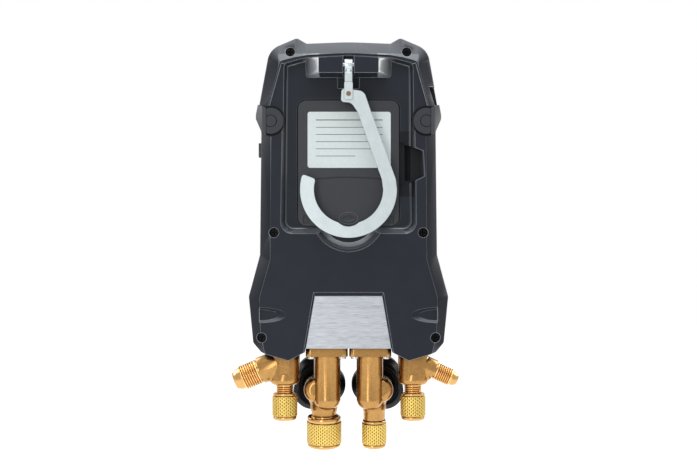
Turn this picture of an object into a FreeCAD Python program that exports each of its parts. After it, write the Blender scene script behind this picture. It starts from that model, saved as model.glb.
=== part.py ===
"""Digital refrigerant manifold gauge with a four-valve block, modelled as separate pieces.

Frame: +X to the right as seen from behind, +Y towards the display, +Z up. The origin is the centre of
the hinge pin from which the hanging hook folds out. Units are millimetres and degrees.
"""

import FreeCAD, Part

import math
import os

V = FreeCAD.Vector
PARTS = "parts"
LEFT, RIGHT = -1, 1

# Levels through the thickness, from the back of the bracket to the display
BRACKET_FACE_Y = -4.6
BACK_Y = 4.0
RECESS_FLOOR_Y = 8.0
CHAMFER_DEPTH = 5.5
PARTING_Y = 20.0
FRONT_Y = 44.0
WALL = 2.5
FLOOR_WALL = 2.5
FRONT_EDGE_DEPTH = 5.0
FRONT_EDGE_INSET = 4.0

# Housing outline: the right half as (x, z, corner radius), from the notch for the block up to the top
LOBE_INNER = (27.0, -175.4)
LOBE_TIP = (36.7, -180.4)
OUTLINE = [
    (*LOBE_INNER, 1.0),
    (*LOBE_TIP, 1.5),
    (53.7, -175.5, 2.0),
    (58.6, -169.6, 3.0),
    (61.3, -141.3, 5.0),
    (54.4, -115.7, 5.0),
    (53.6, -41.0, 4.0),
    (55.4, -26.8, 4.0),
    (48.6, 10.4, 11.5),
    (31.7, 17.6, 3.0),
    (25.8, 14.1, 2.0),
    (0.0, 15.1, 200.0),
]
BACK_OUTLINE = [
    (*LOBE_INNER, 1.0),
    (*LOBE_TIP, 1.5),
    (51.2, -176.2, 2.0),
    (53.8, -163.6, 3.0),
    (54.5, -142.0, 5.0),
    (47.9, -118.7, 5.0),
    (47.4, -41.5, 4.0),
    (49.2, -24.5, 4.0),
    (41.8, 2.9, 2.5),
    (33.0, 5.2, 8.0),
    (25.0, 6.6, 8.0),
    (0.0, 7.9, 200.0),
]

# Recess in the back: outlines at the back surface and at its floor
RECESS_TOP = [(41.6, -102.7, 7.0), (40.0, 1.2, 2.5), (26.0, 4.9, 50.0), (0.0, 6.5, 200.0)]
RECESS_FLOOR = [(38.2, -99.1, 5.0), (37.3, 0.0, 2.0), (25.0, 3.7, 50.0), (0.0, 5.2, 200.0)]
RECESS_FOOT_START = 0.72
RECESS_FOOT_REACH = 1.9
RECESS_FOOT_STEPS = 3
SCOOP_Z = -91.5
SCOOP_R_TOP = 22.3
SCOOP_R_FLOOR = 16.6
SCOOP_STEP = 0.9
SCOOP_STEP_DRAFT = 0.4
SCOOP_LEDGE = 1.1
LINK_POCKET_HALF = 6.6
LINK_POCKET_BOTTOM_Z = -13.5
LINK_POCKET_DEPTH = 1.0
EDGE_STEP = 0.8
EDGE_POCKET = [(38.0, 0.6), (41.0, 1.6), (48.2, -24.2), (38.0, -34.0)]

# Bracket that carries the hinge pin
BRACKET_BASE = [(26.4, -6.9, 1.5), (27.2, 5.0, 0.0), (0.0, 7.0, 0.0)]
BRACKET_FACE = [(18.2, -5.3, 0.8), (18.2, 4.0, 0.0), (0.0, 5.1, 0.0)]
SLOT_HALF = 3.3
SLOT_DEPTH_Y = 4.3
SLOT_TOP_Z = 5.9
PIN_R = 1.25
PIN_LENGTH = 17.0

# Hanging hook
KNUCKLE_R = 3.4
KNUCKLE_HALF = 2.4
COLLAR_R = 3.05
COLLAR_START_Z = -2.2
COLLAR_LENGTH = 2.2
LINK_HALF = 2.3
LINK_END_Z = -10.4
SWIVEL_GAP = 0.15
SWIVEL_STEM_R = 1.2
SWIVEL_STEM_LENGTH = 3.0
RUNNING = 0.06
HOOK_THICK = 4.0
HOOK_R_OUT = 29.4
HOOK_R_IN = 21.0
HOOK_CENTRE_Z = -75.8
HOOK_TIP_ANGLE = 163.0
HOOK_TIP_R = 1.6
HOOK_DIP = 1.6
HOOK_DIP_HALF = 6.8
FORK_HALF = 2.6
FORK_END_Z = -21.4
FORK_THICK = 6.4
RIVET_Z = -17.8
RIVET_R = 0.9
RIVET_HEAD_R = 1.4

# Battery cells, the tray round them and the cover over it
CELL_R = 7.2
CELL_LENGTH = 50.0
CELL_SPACE = 0.5
CELL_COUNT = 4
CELL_PITCH = 2 * CELL_R + CELL_SPACE
CELL_FRONT_GAP = 1.0
CELL_BACK_GAP = 0.4
NUB_R = 2.8
NUB_LENGTH = 1.6
CONTACT_HALF = 4.0
CONTACT_TIP_HALF = 1.0
CONTACT_WIDTH = 6.0
CONTACT_THICK = 0.5
CONTACT_REACH = 3.2
COVER_THICK = 2.4
COVER_LAP = 1.4
COVER_LAP_Z = 1.1
COVER_TOP_Z = -20.9
COVER_HEIGHT = 77.1
COVER_BOTTOM_Z = COVER_TOP_Z - COVER_HEIGHT
COVER_RADIUS = 5.0
COVER_GAP = 0.5
CELL_Y = RECESS_FLOOR_Y + COVER_THICK + CELL_FRONT_GAP + CELL_R
CELL_MID_Z = COVER_TOP_Z - COVER_HEIGHT / 2
TRAY_WALL = 1.4
TRAY_RIM = 3.0
TRAY_RADIUS = 3.0
TRAY_HALF = CELL_LENGTH / 2 + CONTACT_REACH + TRAY_WALL
TRAY_TOP_Z = COVER_TOP_Z - COVER_LAP_Z
TRAY_BOTTOM_Z = COVER_BOTTOM_Z + COVER_LAP_Z
TRAY_DEPTH_Y = CELL_Y + CELL_R + CELL_BACK_GAP + TRAY_WALL
COVER_HALF = TRAY_HALF + COVER_LAP
THUMB_UP = 4.8
THUMB_RX = 5.7
THUMB_RZ = 3.6
THUMB_DEPTH = 1.0
THUMB_RING = 1.5
THUMB_RING_DEPTH = 0.35
COVER_ARC_R = 190.0
COVER_ARC_Z = -67.8
COVER_ARC_HALF = 23.5
COVER_ARC_WIDTH = 0.7
COVER_ARC_DEPTH = 0.5
TAB_POCKET = (24.2, 27.8, COVER_BOTTOM_Z + 1.8, COVER_BOTTOM_Z + 6.2)
TAB_POCKET_DEPTH = 0.9

# Side grip pocket beside the cover, thumb notch, and D-shaped dimples
GRIP_INNER_X = COVER_HALF + 0.9
GRIP_POCKET = [
    (GRIP_INNER_X, -46.4), (GRIP_INNER_X + 3.1, -47.9), (45.7, -52.1), (46.6, -67.6), (GRIP_INNER_X, -74.4),
]
GRIP_FLOOR_Y = 9.6
GRIP_SLOT = (GRIP_INNER_X + 2.5, GRIP_INNER_X + 6.1, -70.2, -48.6)
GRIP_SLOT_Y = 16.0
GRIP_WALL = 1.0
THUMB_NOTCH = [(49.2, -12.6), (58.0, -12.6), (58.0, -24.0), (52.9, -24.0)]
THUMB_NOTCH_Y = 13.5
DIMPLE_X = 54.4
DIMPLE_Z = -152.5
DIMPLE_RX = 16.2
DIMPLE_RZ = 4.7
DIMPLE_DEPTH = 1.2
DIMPLE_SLOPE = 1.4

# Case screws: (x, z, depth of the head below the back surface)
CASE_SCREWS = [(35.7, 8.6, 3.6), (45.6, -102.1, 5.5), (53.2, -166.3, 6.5)]
SCREW_HOLE_R = 3.0
SCREW_HEAD_R = 2.6
SCREW_HEAD_H = 2.2
CROSS_REACH = 1.6
CROSS_HALF = 0.4
CROSS_DEPTH = 1.2
SCREW_R = 1.45
SCREW_LENGTH = 26.0
BOSS_R = 4.2

# Socket covers on both sides
ANCHOR_X = 47.6
ANCHOR_Z = -33.8
ANCHOR_R = 8.0
ANCHOR_GAP = 0.7
ANCHOR_PROUD = 0.7
ANCHOR_CUT_X = 50.3
RIVET_PLUG_R = 3.5
FLAP_OUTLINE = [(50.4, -42.4), (53.2, -40.6), (56.9, -32.4), (56.9, -29.6), (55.6, -23.6), (50.4, -25.8)]
FLAP_GAP = 0.25
FLAP_SHOULDER_X = 52.6
FLAP_SLOPE_Y = 4.8
FLAP_END_Y = 22.5
SOCKET_Y = 14.8
SOCKET_Z = -33.8
SOCKET_R = 4.6
SOCKET_DEPTH = 9.0
SOCKET_INSET = 1.0

# Side key on the left edge
SIDE_KEY_Z = -51.3
SIDE_KEY_Y = 14.5
SIDE_KEY_LENGTH = 8.8
SIDE_KEY_WIDTH = 5.6
SIDE_KEY_PROUD = 1.7
SIDE_KEY_WALL = 2.0
SIDE_KEY_FLANGE = 1.2
KEY_GAP = 0.2

# Aluminium valve block
BLOCK_TOP_Z = -141.0
BLOCK_HEIGHT = 32.1
BLOCK_BOTTOM_Z = BLOCK_TOP_Z - BLOCK_HEIGHT
BLOCK_WINDOW_TOP = 20.6
BLOCK_WINDOW_BOTTOM = 26.1
BLOCK_FACE_Y = 6.0
BLOCK_BODY_Y = 10.0
BLOCK_FRONT_Y = 34.0
BLOCK_HALF = 50.0
WINDOW_GAP = 0.3
WINDOW_BEVEL = 2.1
WINDOW_SIDE_BEVEL = 0.5
WINDOW_RUN_OUT = 20.0
BLOCK_GAP = 0.4
GALLERY_R = 2.5
GALLERY_Y = 15.0

# Display, board and front keys
LENS_HALF = 44.0
LENS_TOP_Z = -4.0
LENS_BOTTOM_Z = -78.0
LENS_THICK = 2.0
LENS_PROUD = 0.4
DISPLAY_GAP = 0.2
LENS_LEDGE = 2.5
LENS_GAP = 0.2
LENS_RADIUS = 4.0
DISPLAY_HALF = 40.0
DISPLAY_TOP_Z = -9.0
DISPLAY_BOTTOM_Z = -73.0
DISPLAY_THICK = 5.0
BOARD_HALF = 44.0
BOARD_TOP_Z = -3.0
BOARD_BOTTOM_Z = BLOCK_TOP_Z + 19.0
BOARD_Y = 31.0
BOARD_THICK = 1.6
KEY_PITCH = 20.0
KEY_XS = tuple(KEY_PITCH * (k - 1.5) for k in range(4))
KEY_Z = -94.0
KEY_HALF_X = 7.5
KEY_HALF_Z = 4.8
KEY_PROUD = 1.6
KEY_TRAVEL = 0.8
KEY_FLANGE = 1.2
KEY_RADIUS = 3.0
SWITCH_HALF = 3.0
SWITCH_GAP = 0.3

# Valves: knob, spindle, piston and bonnet share one layout along +Y
OUTER_VALVE = (39.6, BLOCK_TOP_Z - 16.0)
CENTRE_VALVE = (19.8, BLOCK_BOTTOM_Z - 26.6)
THREAD_R = 6.2
THREAD_LENGTH = 10.0
CHAMBER_R = 4.5
CHAMBER_Y = 18.0
SUPPLY_Y = CHAMBER_Y - 1.0
PISTON_BORE_R = 4.4
PISTON_LENGTH = 12.5
PISTON_LIFT = 1.6
PISTON_SEAT_GAP = 0.05
HEX_AF = 14.0
HEX_LENGTH = 6.5
NECK_R = 6.4
NECK_END_Y = 51.0
BONNET_BORE_END_Y = 36.0
SPINDLE_R = 2.2
SPINDLE_START_Y = 24.0
SPINDLE_CLEAR = 0.3
KNOB_BACK_Y = 48.0
KNOB_LENGTH = 24.0
KNOB_RIM_R = 12.3
KNOB_HOLLOW_R = 9.8
KNOB_HOLLOW_Y = 61.0
KNOB_SKIRT = 3.0
KNOB_FLARE = 4.5
KNOB_FLAT_R = 15.0
KNOB_LOBE_R = 12.1
KNOB_HUB_R = 5.0
KNOB_HUB_Y = 53.0
KNOB_INSERT_R = 9.6
KNOB_INSERT_DEPTH = 1.2
KNOB_FRONT_EDGE = 1.8

# Flanged centre valve bodies
FLANGE_X = 13.45
COLUMN_X = 13.2
FLANGE_Y = 18.5
FLANGE_HALF_X = 13.0
FLANGE_HALF_Y = 9.5
FLANGE_THICK = 5.3
FLANGE_RADIUS = 3.2
FLANGE_SCREW_DX = 9.6
FLANGE_SCREW_DY = 6.5
FLANGE_SCREW_HEAD_R = 2.5
FLANGE_SCREW_HEAD_H = 1.6
FLANGE_HEAD_ROUND = 1.0
FLANGE_SOCKET_R = 1.1
FLANGE_SOCKET_FLOOR = 0.8
FLANGE_SCREW_R = 1.6
FLANGE_SCREW_LENGTH = 12.0
COLUMN_R = 8.2
COLUMN_Y = 18.0
COLUMN_LENGTH = 38.7
COLUMN_BOTTOM_Z = BLOCK_BOTTOM_Z - COLUMN_LENGTH
COLUMN_ROUND = 6.5
BARREL_R = 8.0
BARREL_START_Y = 14.5
BARREL_ROUND = 4.5
PORT_TILT = 6.5
PORT_Y = 24.5
PORT_START_Z = BLOCK_BOTTOM_Z - 26.9
ELBOW_DEPTH = 11.0
ELBOW_STEP = 0.6
SUPPLY_OFFSET = 4.2
SUPPLY_R = 2.0

# Hose ends by nominal size: unified fine major radii of the quarter and three-eighths flare
QUARTER_R = 5.55
QUARTER_TUBE_R = 6.8
QUARTER_CAP_R = 7.8
EIGHTHS_R = 7.94
EIGHTHS_TUBE_R = 7.9
EIGHTHS_CAP_R = 10.95
CAP_BORE_GAP = 0.1
SEAL_INSET = 0.55
QUARTER = {"thread_r": QUARTER_R, "tube_r": QUARTER_TUBE_R, "cap_r": QUARTER_CAP_R}
THREE_EIGHTHS = {"thread_r": EIGHTHS_R, "tube_r": EIGHTHS_TUBE_R, "cap_r": EIGHTHS_CAP_R}
PASSAGE_R = 2.4
EIGHTHS_PORT_X = 15.3
EIGHTHS_CAP_START = 17.2
EIGHTHS_CAP_LENGTH = 19.3
QUARTER_PORT_X = 16.1
QUARTER_CAP_START = 19.4
QUARTER_CAP_LENGTH = 17.6
CENTRE_PORTS = {
    LEFT: {"size": THREE_EIGHTHS, "x": EIGHTHS_PORT_X, "cap_start": EIGHTHS_CAP_START,
           "cap_length": EIGHTHS_CAP_LENGTH},
    RIGHT: {"size": QUARTER, "x": QUARTER_PORT_X, "cap_start": QUARTER_CAP_START,
            "cap_length": QUARTER_CAP_LENGTH},
}
CAP_RIM = 0.5
CAP_TOP_RIM = 1.8
CAP_END_RIM = 2.8
CAP_END_ROUND = 1.5
CAP_WALL_END = 2.4
TUBE_GAP = 0.6
SEAL_THICK = 2.0
SEAL_GAP = 0.1
NOSE_LENGTH = 2.6

# Outer port bodies with their capped port below and angled parking stub
PORT_BODY_LEFT_X = 39.6
PORT_BODY_RIGHT_X = 40.1
PORT_BODY_X = {LEFT: PORT_BODY_LEFT_X, RIGHT: PORT_BODY_RIGHT_X}
PORT_BODY_Y = 20.0
PORT_BODY_R = 9.4
PORT_BODY_LENGTH = 23.5
PORT_BODY_BOTTOM_Z = BLOCK_BOTTOM_Z - PORT_BODY_LENGTH
PORT_BODY_ROUND = 3.5
PORT_BODY_GAP = 1.6
PORT_FLAT = 0.45
PORT_FLAT_HALF = 3.2
PORT_FLAT_UP = 7.0
PORT_FLAT_DOWN = 3.9
OUTER_CAP_GAP = 5.0
OUTER_CAP_LENGTH = 17.0
STUB_ANGLE = {LEFT: 22.5, RIGHT: 24.5}
STUB_DROP = 8.5
STUB_STEP = 0.6
STUB_BLEND = 1.5
EIGHTHS_COLLAR_R = 8.3
EIGHTHS_COLLAR = 17.6
EIGHTHS_STUB_THREAD = 10.4
EIGHTHS_STUB_NOSE = 5.6
QUARTER_COLLAR_R = 6.5
QUARTER_COLLAR = 15.6
QUARTER_STUB_THREAD = 9.8
QUARTER_STUB_NOSE = 4.8
STUBS = {
    LEFT: {"size": THREE_EIGHTHS, "collar_r": EIGHTHS_COLLAR_R, "collar": EIGHTHS_COLLAR,
           "thread": EIGHTHS_STUB_THREAD, "nose": EIGHTHS_STUB_NOSE},
    RIGHT: {"size": QUARTER, "collar_r": QUARTER_COLLAR_R, "collar": QUARTER_COLLAR,
            "thread": QUARTER_STUB_THREAD, "nose": QUARTER_STUB_NOSE},
}

# Sight glass and pressure sensors
SIGHT_R = 8.0
SIGHT_DEPTH = 7.0
SIGHT_GLASS_INSET = 2.5
SIGHT_GLASS_THICK = 3.5
SIGHT_LIP = 0.6
SIGHT_Z = OUTER_VALVE[1]
SIGHT_RING_R = 11.0
SIGHT_RING_PROUD = 1.2
SENSOR_X = 28.0
SENSOR_Y = 22.0
SENSOR_R = 7.0
SENSOR_STEP_R = 5.4
SENSOR_STEP = 5.0
SENSOR_HEIGHT = 13.0


def mirrored(half):
    """The closed outline made of a right half and its mirror image, from bottom to top and back."""
    left = [(-x, *rest) for x, *rest in reversed(half) if x > 0]
    return list(half) + left


def corner(before, at, after, radius):
    """The start, middle and end of the arc that rounds one corner, or its point if it is sharp."""
    if radius <= 0:
        return (at,)
    a = (before - at).normalize()
    b = (after - at).normalize()
    half = a.getAngle(b) / 2
    run = radius / math.tan(half)
    middle = (a + b).normalize() * (radius / math.sin(half) - radius)
    return at + a * run, at + middle, at + b * run


def outline(corners, y):
    """A closed wire in the plane Y = y through corners given as (x, z) or (x, z, radius)."""
    points = [V(c[0], y, c[1]) for c in corners]
    radii = [c[2] if len(c) > 2 else 0.0 for c in corners]
    count = len(points)
    arcs = [corner(points[i - 1], points[i], points[(i + 1) % count], radii[i]) for i in range(count)]
    edges = []
    for i, arc in enumerate(arcs):
        if len(arc) == 3:
            edges.append(Part.Arc(*arc).toShape())
        following = arcs[(i + 1) % count][0]
        if arc[-1].distanceToPoint(following) > 1e-6:
            edges.append(Part.LineSegment(arc[-1], following).toShape())
    return Part.Wire(edges)


def prism(corners, y_from, y_to):
    """A prism along Y over an outline."""
    return Part.Face(outline(corners, y_from)).extrude(V(0, y_to - y_from, 0))


def taper(*sections):
    """A solid with straight sides through outlines given as (corners, y), corner for corner."""
    wires = [outline(corners, y) for corners, y in sections]
    faces = [Part.Face(wires[0]), Part.Face(wires[-1])]
    for lower, upper in zip(wires, wires[1:]):
        faces += [Part.makeRuledSurface(a, b) for a, b in zip(lower.Edges, upper.Edges)]
    shell = Part.makeShell(faces)
    shell.sewShape()
    solid = Part.Solid(shell)
    if solid.Volume < 0:
        solid.reverse()
    return solid


def half_width(z):
    """The housing's half width at a height, between the corners of its outline."""
    for (x0, z0, _), (x1, z1, _) in zip(OUTLINE[4:], OUTLINE[5:]):
        if z0 <= z <= z1:
            return x0 + (x1 - x0) * (z - z0) / (z1 - z0)
    return OUTLINE[4][0]


def box(x0, x1, y0, y1, z0, z1):
    return Part.makeBox(x1 - x0, y1 - y0, z1 - z0, V(x0, y0, z0))


def rectangle(x0, x1, z0, z1, radius=0.0):
    """The corners of an upright rectangle."""
    return [(x0, z0, radius), (x1, z0, radius), (x1, z1, radius), (x0, z1, radius)]


def rod(radius, start, end):
    """A round bar between two points."""
    along = end - start
    return Part.makeCylinder(radius, along.Length, start, along)


def rod_y(radius, x, z, y_from, y_to):
    """A round bar along Y."""
    return Part.makeCylinder(radius, y_to - y_from, V(x, y_from, z), V(0, 1, 0))


def turned(profile, start, along):
    """A turned piece: profile is (radius, distance) points, closed back to its first point."""
    points = [V(r, 0, t) for r, t in profile]
    face = Part.Face(Part.makePolygon(points + points[:1]))
    solid = face.revolve(V(0, 0, 0), V(0, 0, 1), 360)
    solid.Placement = FreeCAD.Placement(start, FreeCAD.Rotation(V(0, 0, 1), along))
    return solid


def ellipse_cutter(x, z, rx, rz, surface_y, depth, slope=0.0):
    """A cutter for an elliptical hollow whose walls slope inwards by slope on their way down."""
    shrink = (rz - slope) / rz
    cone = Part.makeCone(1.0, shrink, depth, V(0, 0, 0), V(0, 1, 0)) if slope else rod_y(1.0, 0, 0, 0, depth)
    cone = cone.fuse(rod_y(1.0, 0, 0, -1.0, 0.0))
    stretch = FreeCAD.Matrix(rx, 0, 0, x, 0, 1, 0, surface_y, 0, 0, rz, z, 0, 0, 0, 1)
    return cone.transformGeometry(stretch)


def hexagon(across_flats, x, z, turn=0.0):
    """The corners of a hexagon with flats at its left and right."""
    radius = across_flats / math.sqrt(3)
    angles = [math.radians(30 + 60 * k + turn) for k in range(6)]
    return [(x + radius * math.cos(a), z + radius * math.sin(a)) for a in angles]


def side_of(side):
    return "left" if side == LEFT else "right"


def keep(name, *solids):
    """Writes one node, as one solid or a group of separate solids."""
    shape = solids[0] if len(solids) == 1 else Part.makeCompound(list(solids))
    print(f"{name}: {len(shape.Solids)} solids, {shape.Volume / 1000:.2f} cm3, valid {shape.isValid()}")
    shape.exportStep(os.path.join(PARTS, f"{name}.step"))


def case_screw_places():
    """(x, z, head depth) of all six case screws."""
    return [(side * x, z, depth) for x, z, depth in CASE_SCREWS for side in (LEFT, RIGHT)]


def rear_solid():
    """The rear shell's outside: straight sides up to a sloping band round the flat back."""
    return taper(
        (mirrored(OUTLINE), PARTING_Y),
        (mirrored(OUTLINE), BACK_Y + CHAMFER_DEPTH),
        (mirrored(BACK_OUTLINE), BACK_Y),
    )


def rear_shell():
    body = rear_solid()
    body = body.cut(rear_hollow())
    body = body.cut(recess_cutter())
    body = body.cut(scoop_cutter())
    body = body.cut(box(-LINK_POCKET_HALF, LINK_POCKET_HALF, BACK_Y, RECESS_FLOOR_Y + LINK_POCKET_DEPTH,
                        LINK_POCKET_BOTTOM_Z, BRACKET_BASE[0][1] + 1))
    body = body.fuse(bracket())
    body = body.fuse(rear_bosses())
    for side in (LEFT, RIGHT):
        pocket = prism([(side * x, z) for x, z in EDGE_POCKET], BACK_Y - 1, BACK_Y + EDGE_STEP)
        ring = rod_y(ANCHOR_R + ANCHOR_GAP, side * ANCHOR_X, ANCHOR_Z, BACK_Y - 1, BACK_Y + EDGE_STEP)
        dimple = ellipse_cutter(
            side * DIMPLE_X, DIMPLE_Z, DIMPLE_RX, DIMPLE_RZ, BACK_Y, DIMPLE_DEPTH, DIMPLE_SLOPE
        )
        dimple = dimple.common(box(-DIMPLE_X, DIMPLE_X, BACK_Y - 9, BACK_Y + 9, DIMPLE_Z - 9, DIMPLE_Z + 9))
        body = body.cut(pocket.fuse(ring)).cut(dimple)
    body = body.cut(grip_pocket())
    body = body.cut(prism(THUMB_NOTCH, BACK_Y - 1, THUMB_NOTCH_Y))
    body = body.cut(cover_opening())
    body = body.cut(block_window())
    body = body.cut(side_openings())
    for x, z, depth in case_screw_places():
        body = body.cut(rod_y(SCREW_HOLE_R, x, z, BACK_Y - 1, BACK_Y + depth + SCREW_HEAD_H))
        body = body.cut(rod_y(SCREW_R + 0.1, x, z, BACK_Y, PARTING_Y + 1))
    return body.removeSplitter()


def recess_cutter():
    """The recess in the back, whose wall runs into its floor in a hollow curve."""
    sections = [(mirrored(RECESS_TOP), BACK_Y)]
    depth = RECESS_FLOOR_Y - BACK_Y
    for step in range(RECESS_FOOT_STEPS + 1):
        turn = math.radians(90.0 * step / RECESS_FOOT_STEPS)
        down = RECESS_FOOT_START + (1 - RECESS_FOOT_START) * math.sin(turn)
        into = RECESS_FOOT_START + (1 - RECESS_FOOT_START) * (1 - math.cos(turn)) * RECESS_FOOT_REACH
        sections.append((mirrored(between(RECESS_TOP, RECESS_FLOOR, into)), BACK_Y + depth * down))
    return taper(*sections)


def between(first, second, share):
    """The outline that lies a share of the way from one outline to another, corner for corner."""
    return [tuple(a + (b - a) * share for a, b in zip(p, q)) for p, q in zip(first, second)]


def scoop_cutter():
    """The half-round finger scoop below the recess, with a narrow ledge inside its edge."""
    along = V(0, 1, 0)
    step_r = SCOOP_R_TOP - SCOOP_STEP_DRAFT
    step = Part.makeCone(SCOOP_R_TOP, step_r, SCOOP_STEP, V(0, BACK_Y, SCOOP_Z), along)
    depth = RECESS_FLOOR_Y - BACK_Y - SCOOP_STEP
    return step.fuse(
        Part.makeCone(step_r - SCOOP_LEDGE, SCOOP_R_FLOOR, depth, V(0, BACK_Y + SCOOP_STEP, SCOOP_Z), along)
    )


def scoop_wall():
    """The solid that stands round the scoop inside the shell."""
    depth = RECESS_FLOOR_Y - BACK_Y + FLOOR_WALL
    return Part.makeCone(SCOOP_R_TOP + WALL, SCOOP_R_FLOOR + WALL, depth, V(0, BACK_Y, SCOOP_Z), V(0, 1, 0))


def bracket():
    """The raised bar at the top of the recess, with its slot and the bore for the hinge pin."""
    bar = taper((mirrored(BRACKET_BASE), RECESS_FLOOR_Y + 1), (mirrored(BRACKET_FACE), BRACKET_FACE_Y))
    slot = box(-SLOT_HALF, SLOT_HALF, BRACKET_FACE_Y - 1, SLOT_DEPTH_Y, -20, SLOT_TOP_Z)
    bore = rod(PIN_R, V(-PIN_LENGTH / 2, 0, 0), V(PIN_LENGTH / 2, 0, 0))
    return bar.cut(slot).cut(bore)


def grip_pocket():
    """The sunk finger pocket beside the battery cover, with its deeper slot."""
    pocket = prism(GRIP_POCKET, BACK_Y - 1, GRIP_FLOOR_Y)
    x0, x1, z0, z1 = GRIP_SLOT
    return pocket.fuse(box(x0, x1, GRIP_FLOOR_Y - 1, GRIP_SLOT_Y, z0, z1))


def cover_opening():
    reach = COVER_HALF + COVER_GAP
    corners = rectangle(
        -reach, reach, COVER_BOTTOM_Z - COVER_GAP, COVER_TOP_Z + COVER_GAP, COVER_RADIUS + COVER_GAP
    )
    return prism(corners, RECESS_FLOOR_Y - 1, RECESS_FLOOR_Y + FLOOR_WALL + 1)


def rear_hollow():
    """The space inside the rear shell, leaving walls round the recess and the scoop."""
    back = outline(mirrored(BACK_OUTLINE), BACK_Y + WALL).makeOffset2D(-WALL)
    hollow = Part.Face(back).extrude(V(0, PARTING_Y + 1 - BACK_Y - WALL, 0))
    recess = outline(mirrored(RECESS_TOP), BACK_Y).makeOffset2D(WALL)
    recess = Part.Face(recess).extrude(V(0, RECESS_FLOOR_Y + FLOOR_WALL - BACK_Y, 0))
    return hollow.cut(recess).cut(scoop_wall())


def rear_bosses():
    """Screw bosses and the walls of the grip slot, left standing in the hollow."""
    x0, x1, z0, z1 = GRIP_SLOT
    top_y = GRIP_FLOOR_Y - GRIP_WALL / 2
    well = box(x0 - GRIP_WALL, x1 + GRIP_WALL, top_y, GRIP_SLOT_Y + GRIP_WALL, z0 - GRIP_WALL, z1 + GRIP_WALL)
    floor = prism(GRIP_POCKET, top_y, RECESS_FLOOR_Y + FLOOR_WALL)
    bosses = [rod_y(BOSS_R, x, z, BACK_Y + WALL, PARTING_Y) for x, z, depth in case_screw_places()]
    return well.fuse([floor] + bosses).common(rear_solid())


def block_window():
    """The opening in the lower panel through which the block's back shows."""
    slope = (BLOCK_WINDOW_BOTTOM - BLOCK_WINDOW_TOP) / (BLOCK_TOP_Z - BLOCK_BOTTOM_Z)
    low_z = BLOCK_BOTTOM_Z - WINDOW_RUN_OUT
    low_x = BLOCK_WINDOW_BOTTOM + WINDOW_GAP + slope * WINDOW_RUN_OUT
    top_x = BLOCK_WINDOW_TOP + WINDOW_GAP
    top_z = BLOCK_TOP_Z + WINDOW_GAP
    inner = [(low_x, low_z), (top_x, top_z)]
    outer = [(low_x + WINDOW_SIDE_BEVEL, low_z), (top_x + WINDOW_SIDE_BEVEL, top_z + WINDOW_BEVEL)]
    through = prism(mirrored(inner), BACK_Y - 1, PARTING_Y + 1)
    bevel = taper((mirrored(outer), BACK_Y - 0.001), (mirrored(inner), BLOCK_FACE_Y))
    block_room = box(-BLOCK_HALF - BLOCK_GAP, BLOCK_HALF + BLOCK_GAP, BLOCK_BODY_Y - BLOCK_GAP,
                     BLOCK_FRONT_Y, low_z, BLOCK_TOP_Z + BLOCK_GAP)
    return through.fuse(bevel).fuse(block_room)


def side_openings():
    """Bores for both probe sockets, and the opening of the side key with room for its flange."""
    tools = []
    for side in (LEFT, RIGHT):
        inner, outer = socket_ends(side)
        tools.append(rod(SOCKET_R, inner - V(side, 0, 0), outer + V(side * 9, 0, 0)))
    side_x = -half_width(SIDE_KEY_Z)
    half_y = SIDE_KEY_WIDTH / 2 + KEY_GAP
    half_z = SIDE_KEY_LENGTH / 2 + KEY_GAP
    tools.append(box(side_x - 5, side_x + 3, SIDE_KEY_Y - half_y, SIDE_KEY_Y + half_y,
                     SIDE_KEY_Z - half_z, SIDE_KEY_Z + half_z))
    room = side_x + SIDE_KEY_WALL
    tools.append(box(room, room + 9, SIDE_KEY_Y - half_y - 1, SIDE_KEY_Y + half_y + 1,
                     SIDE_KEY_Z - half_z - 1, SIDE_KEY_Z + half_z + 1))
    return tools[0].fuse(tools[1:])


def front_outline(inset):
    """The front shell's outline; without the notch for the block, and moved inwards by inset."""
    half = [(LOBE_TIP[0] - 6, BLOCK_BOTTOM_Z - 1.0 + inset, 3.0)] + OUTLINE[1:]
    moved = [half[0]]
    for x, z, radius in half[1:]:
        dz = inset if z < -170 else (-inset if z > 8 else 0.0)
        moved.append((x - inset if x > 0 else 0.0, z + dz, radius))
    return mirrored(moved)


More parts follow.
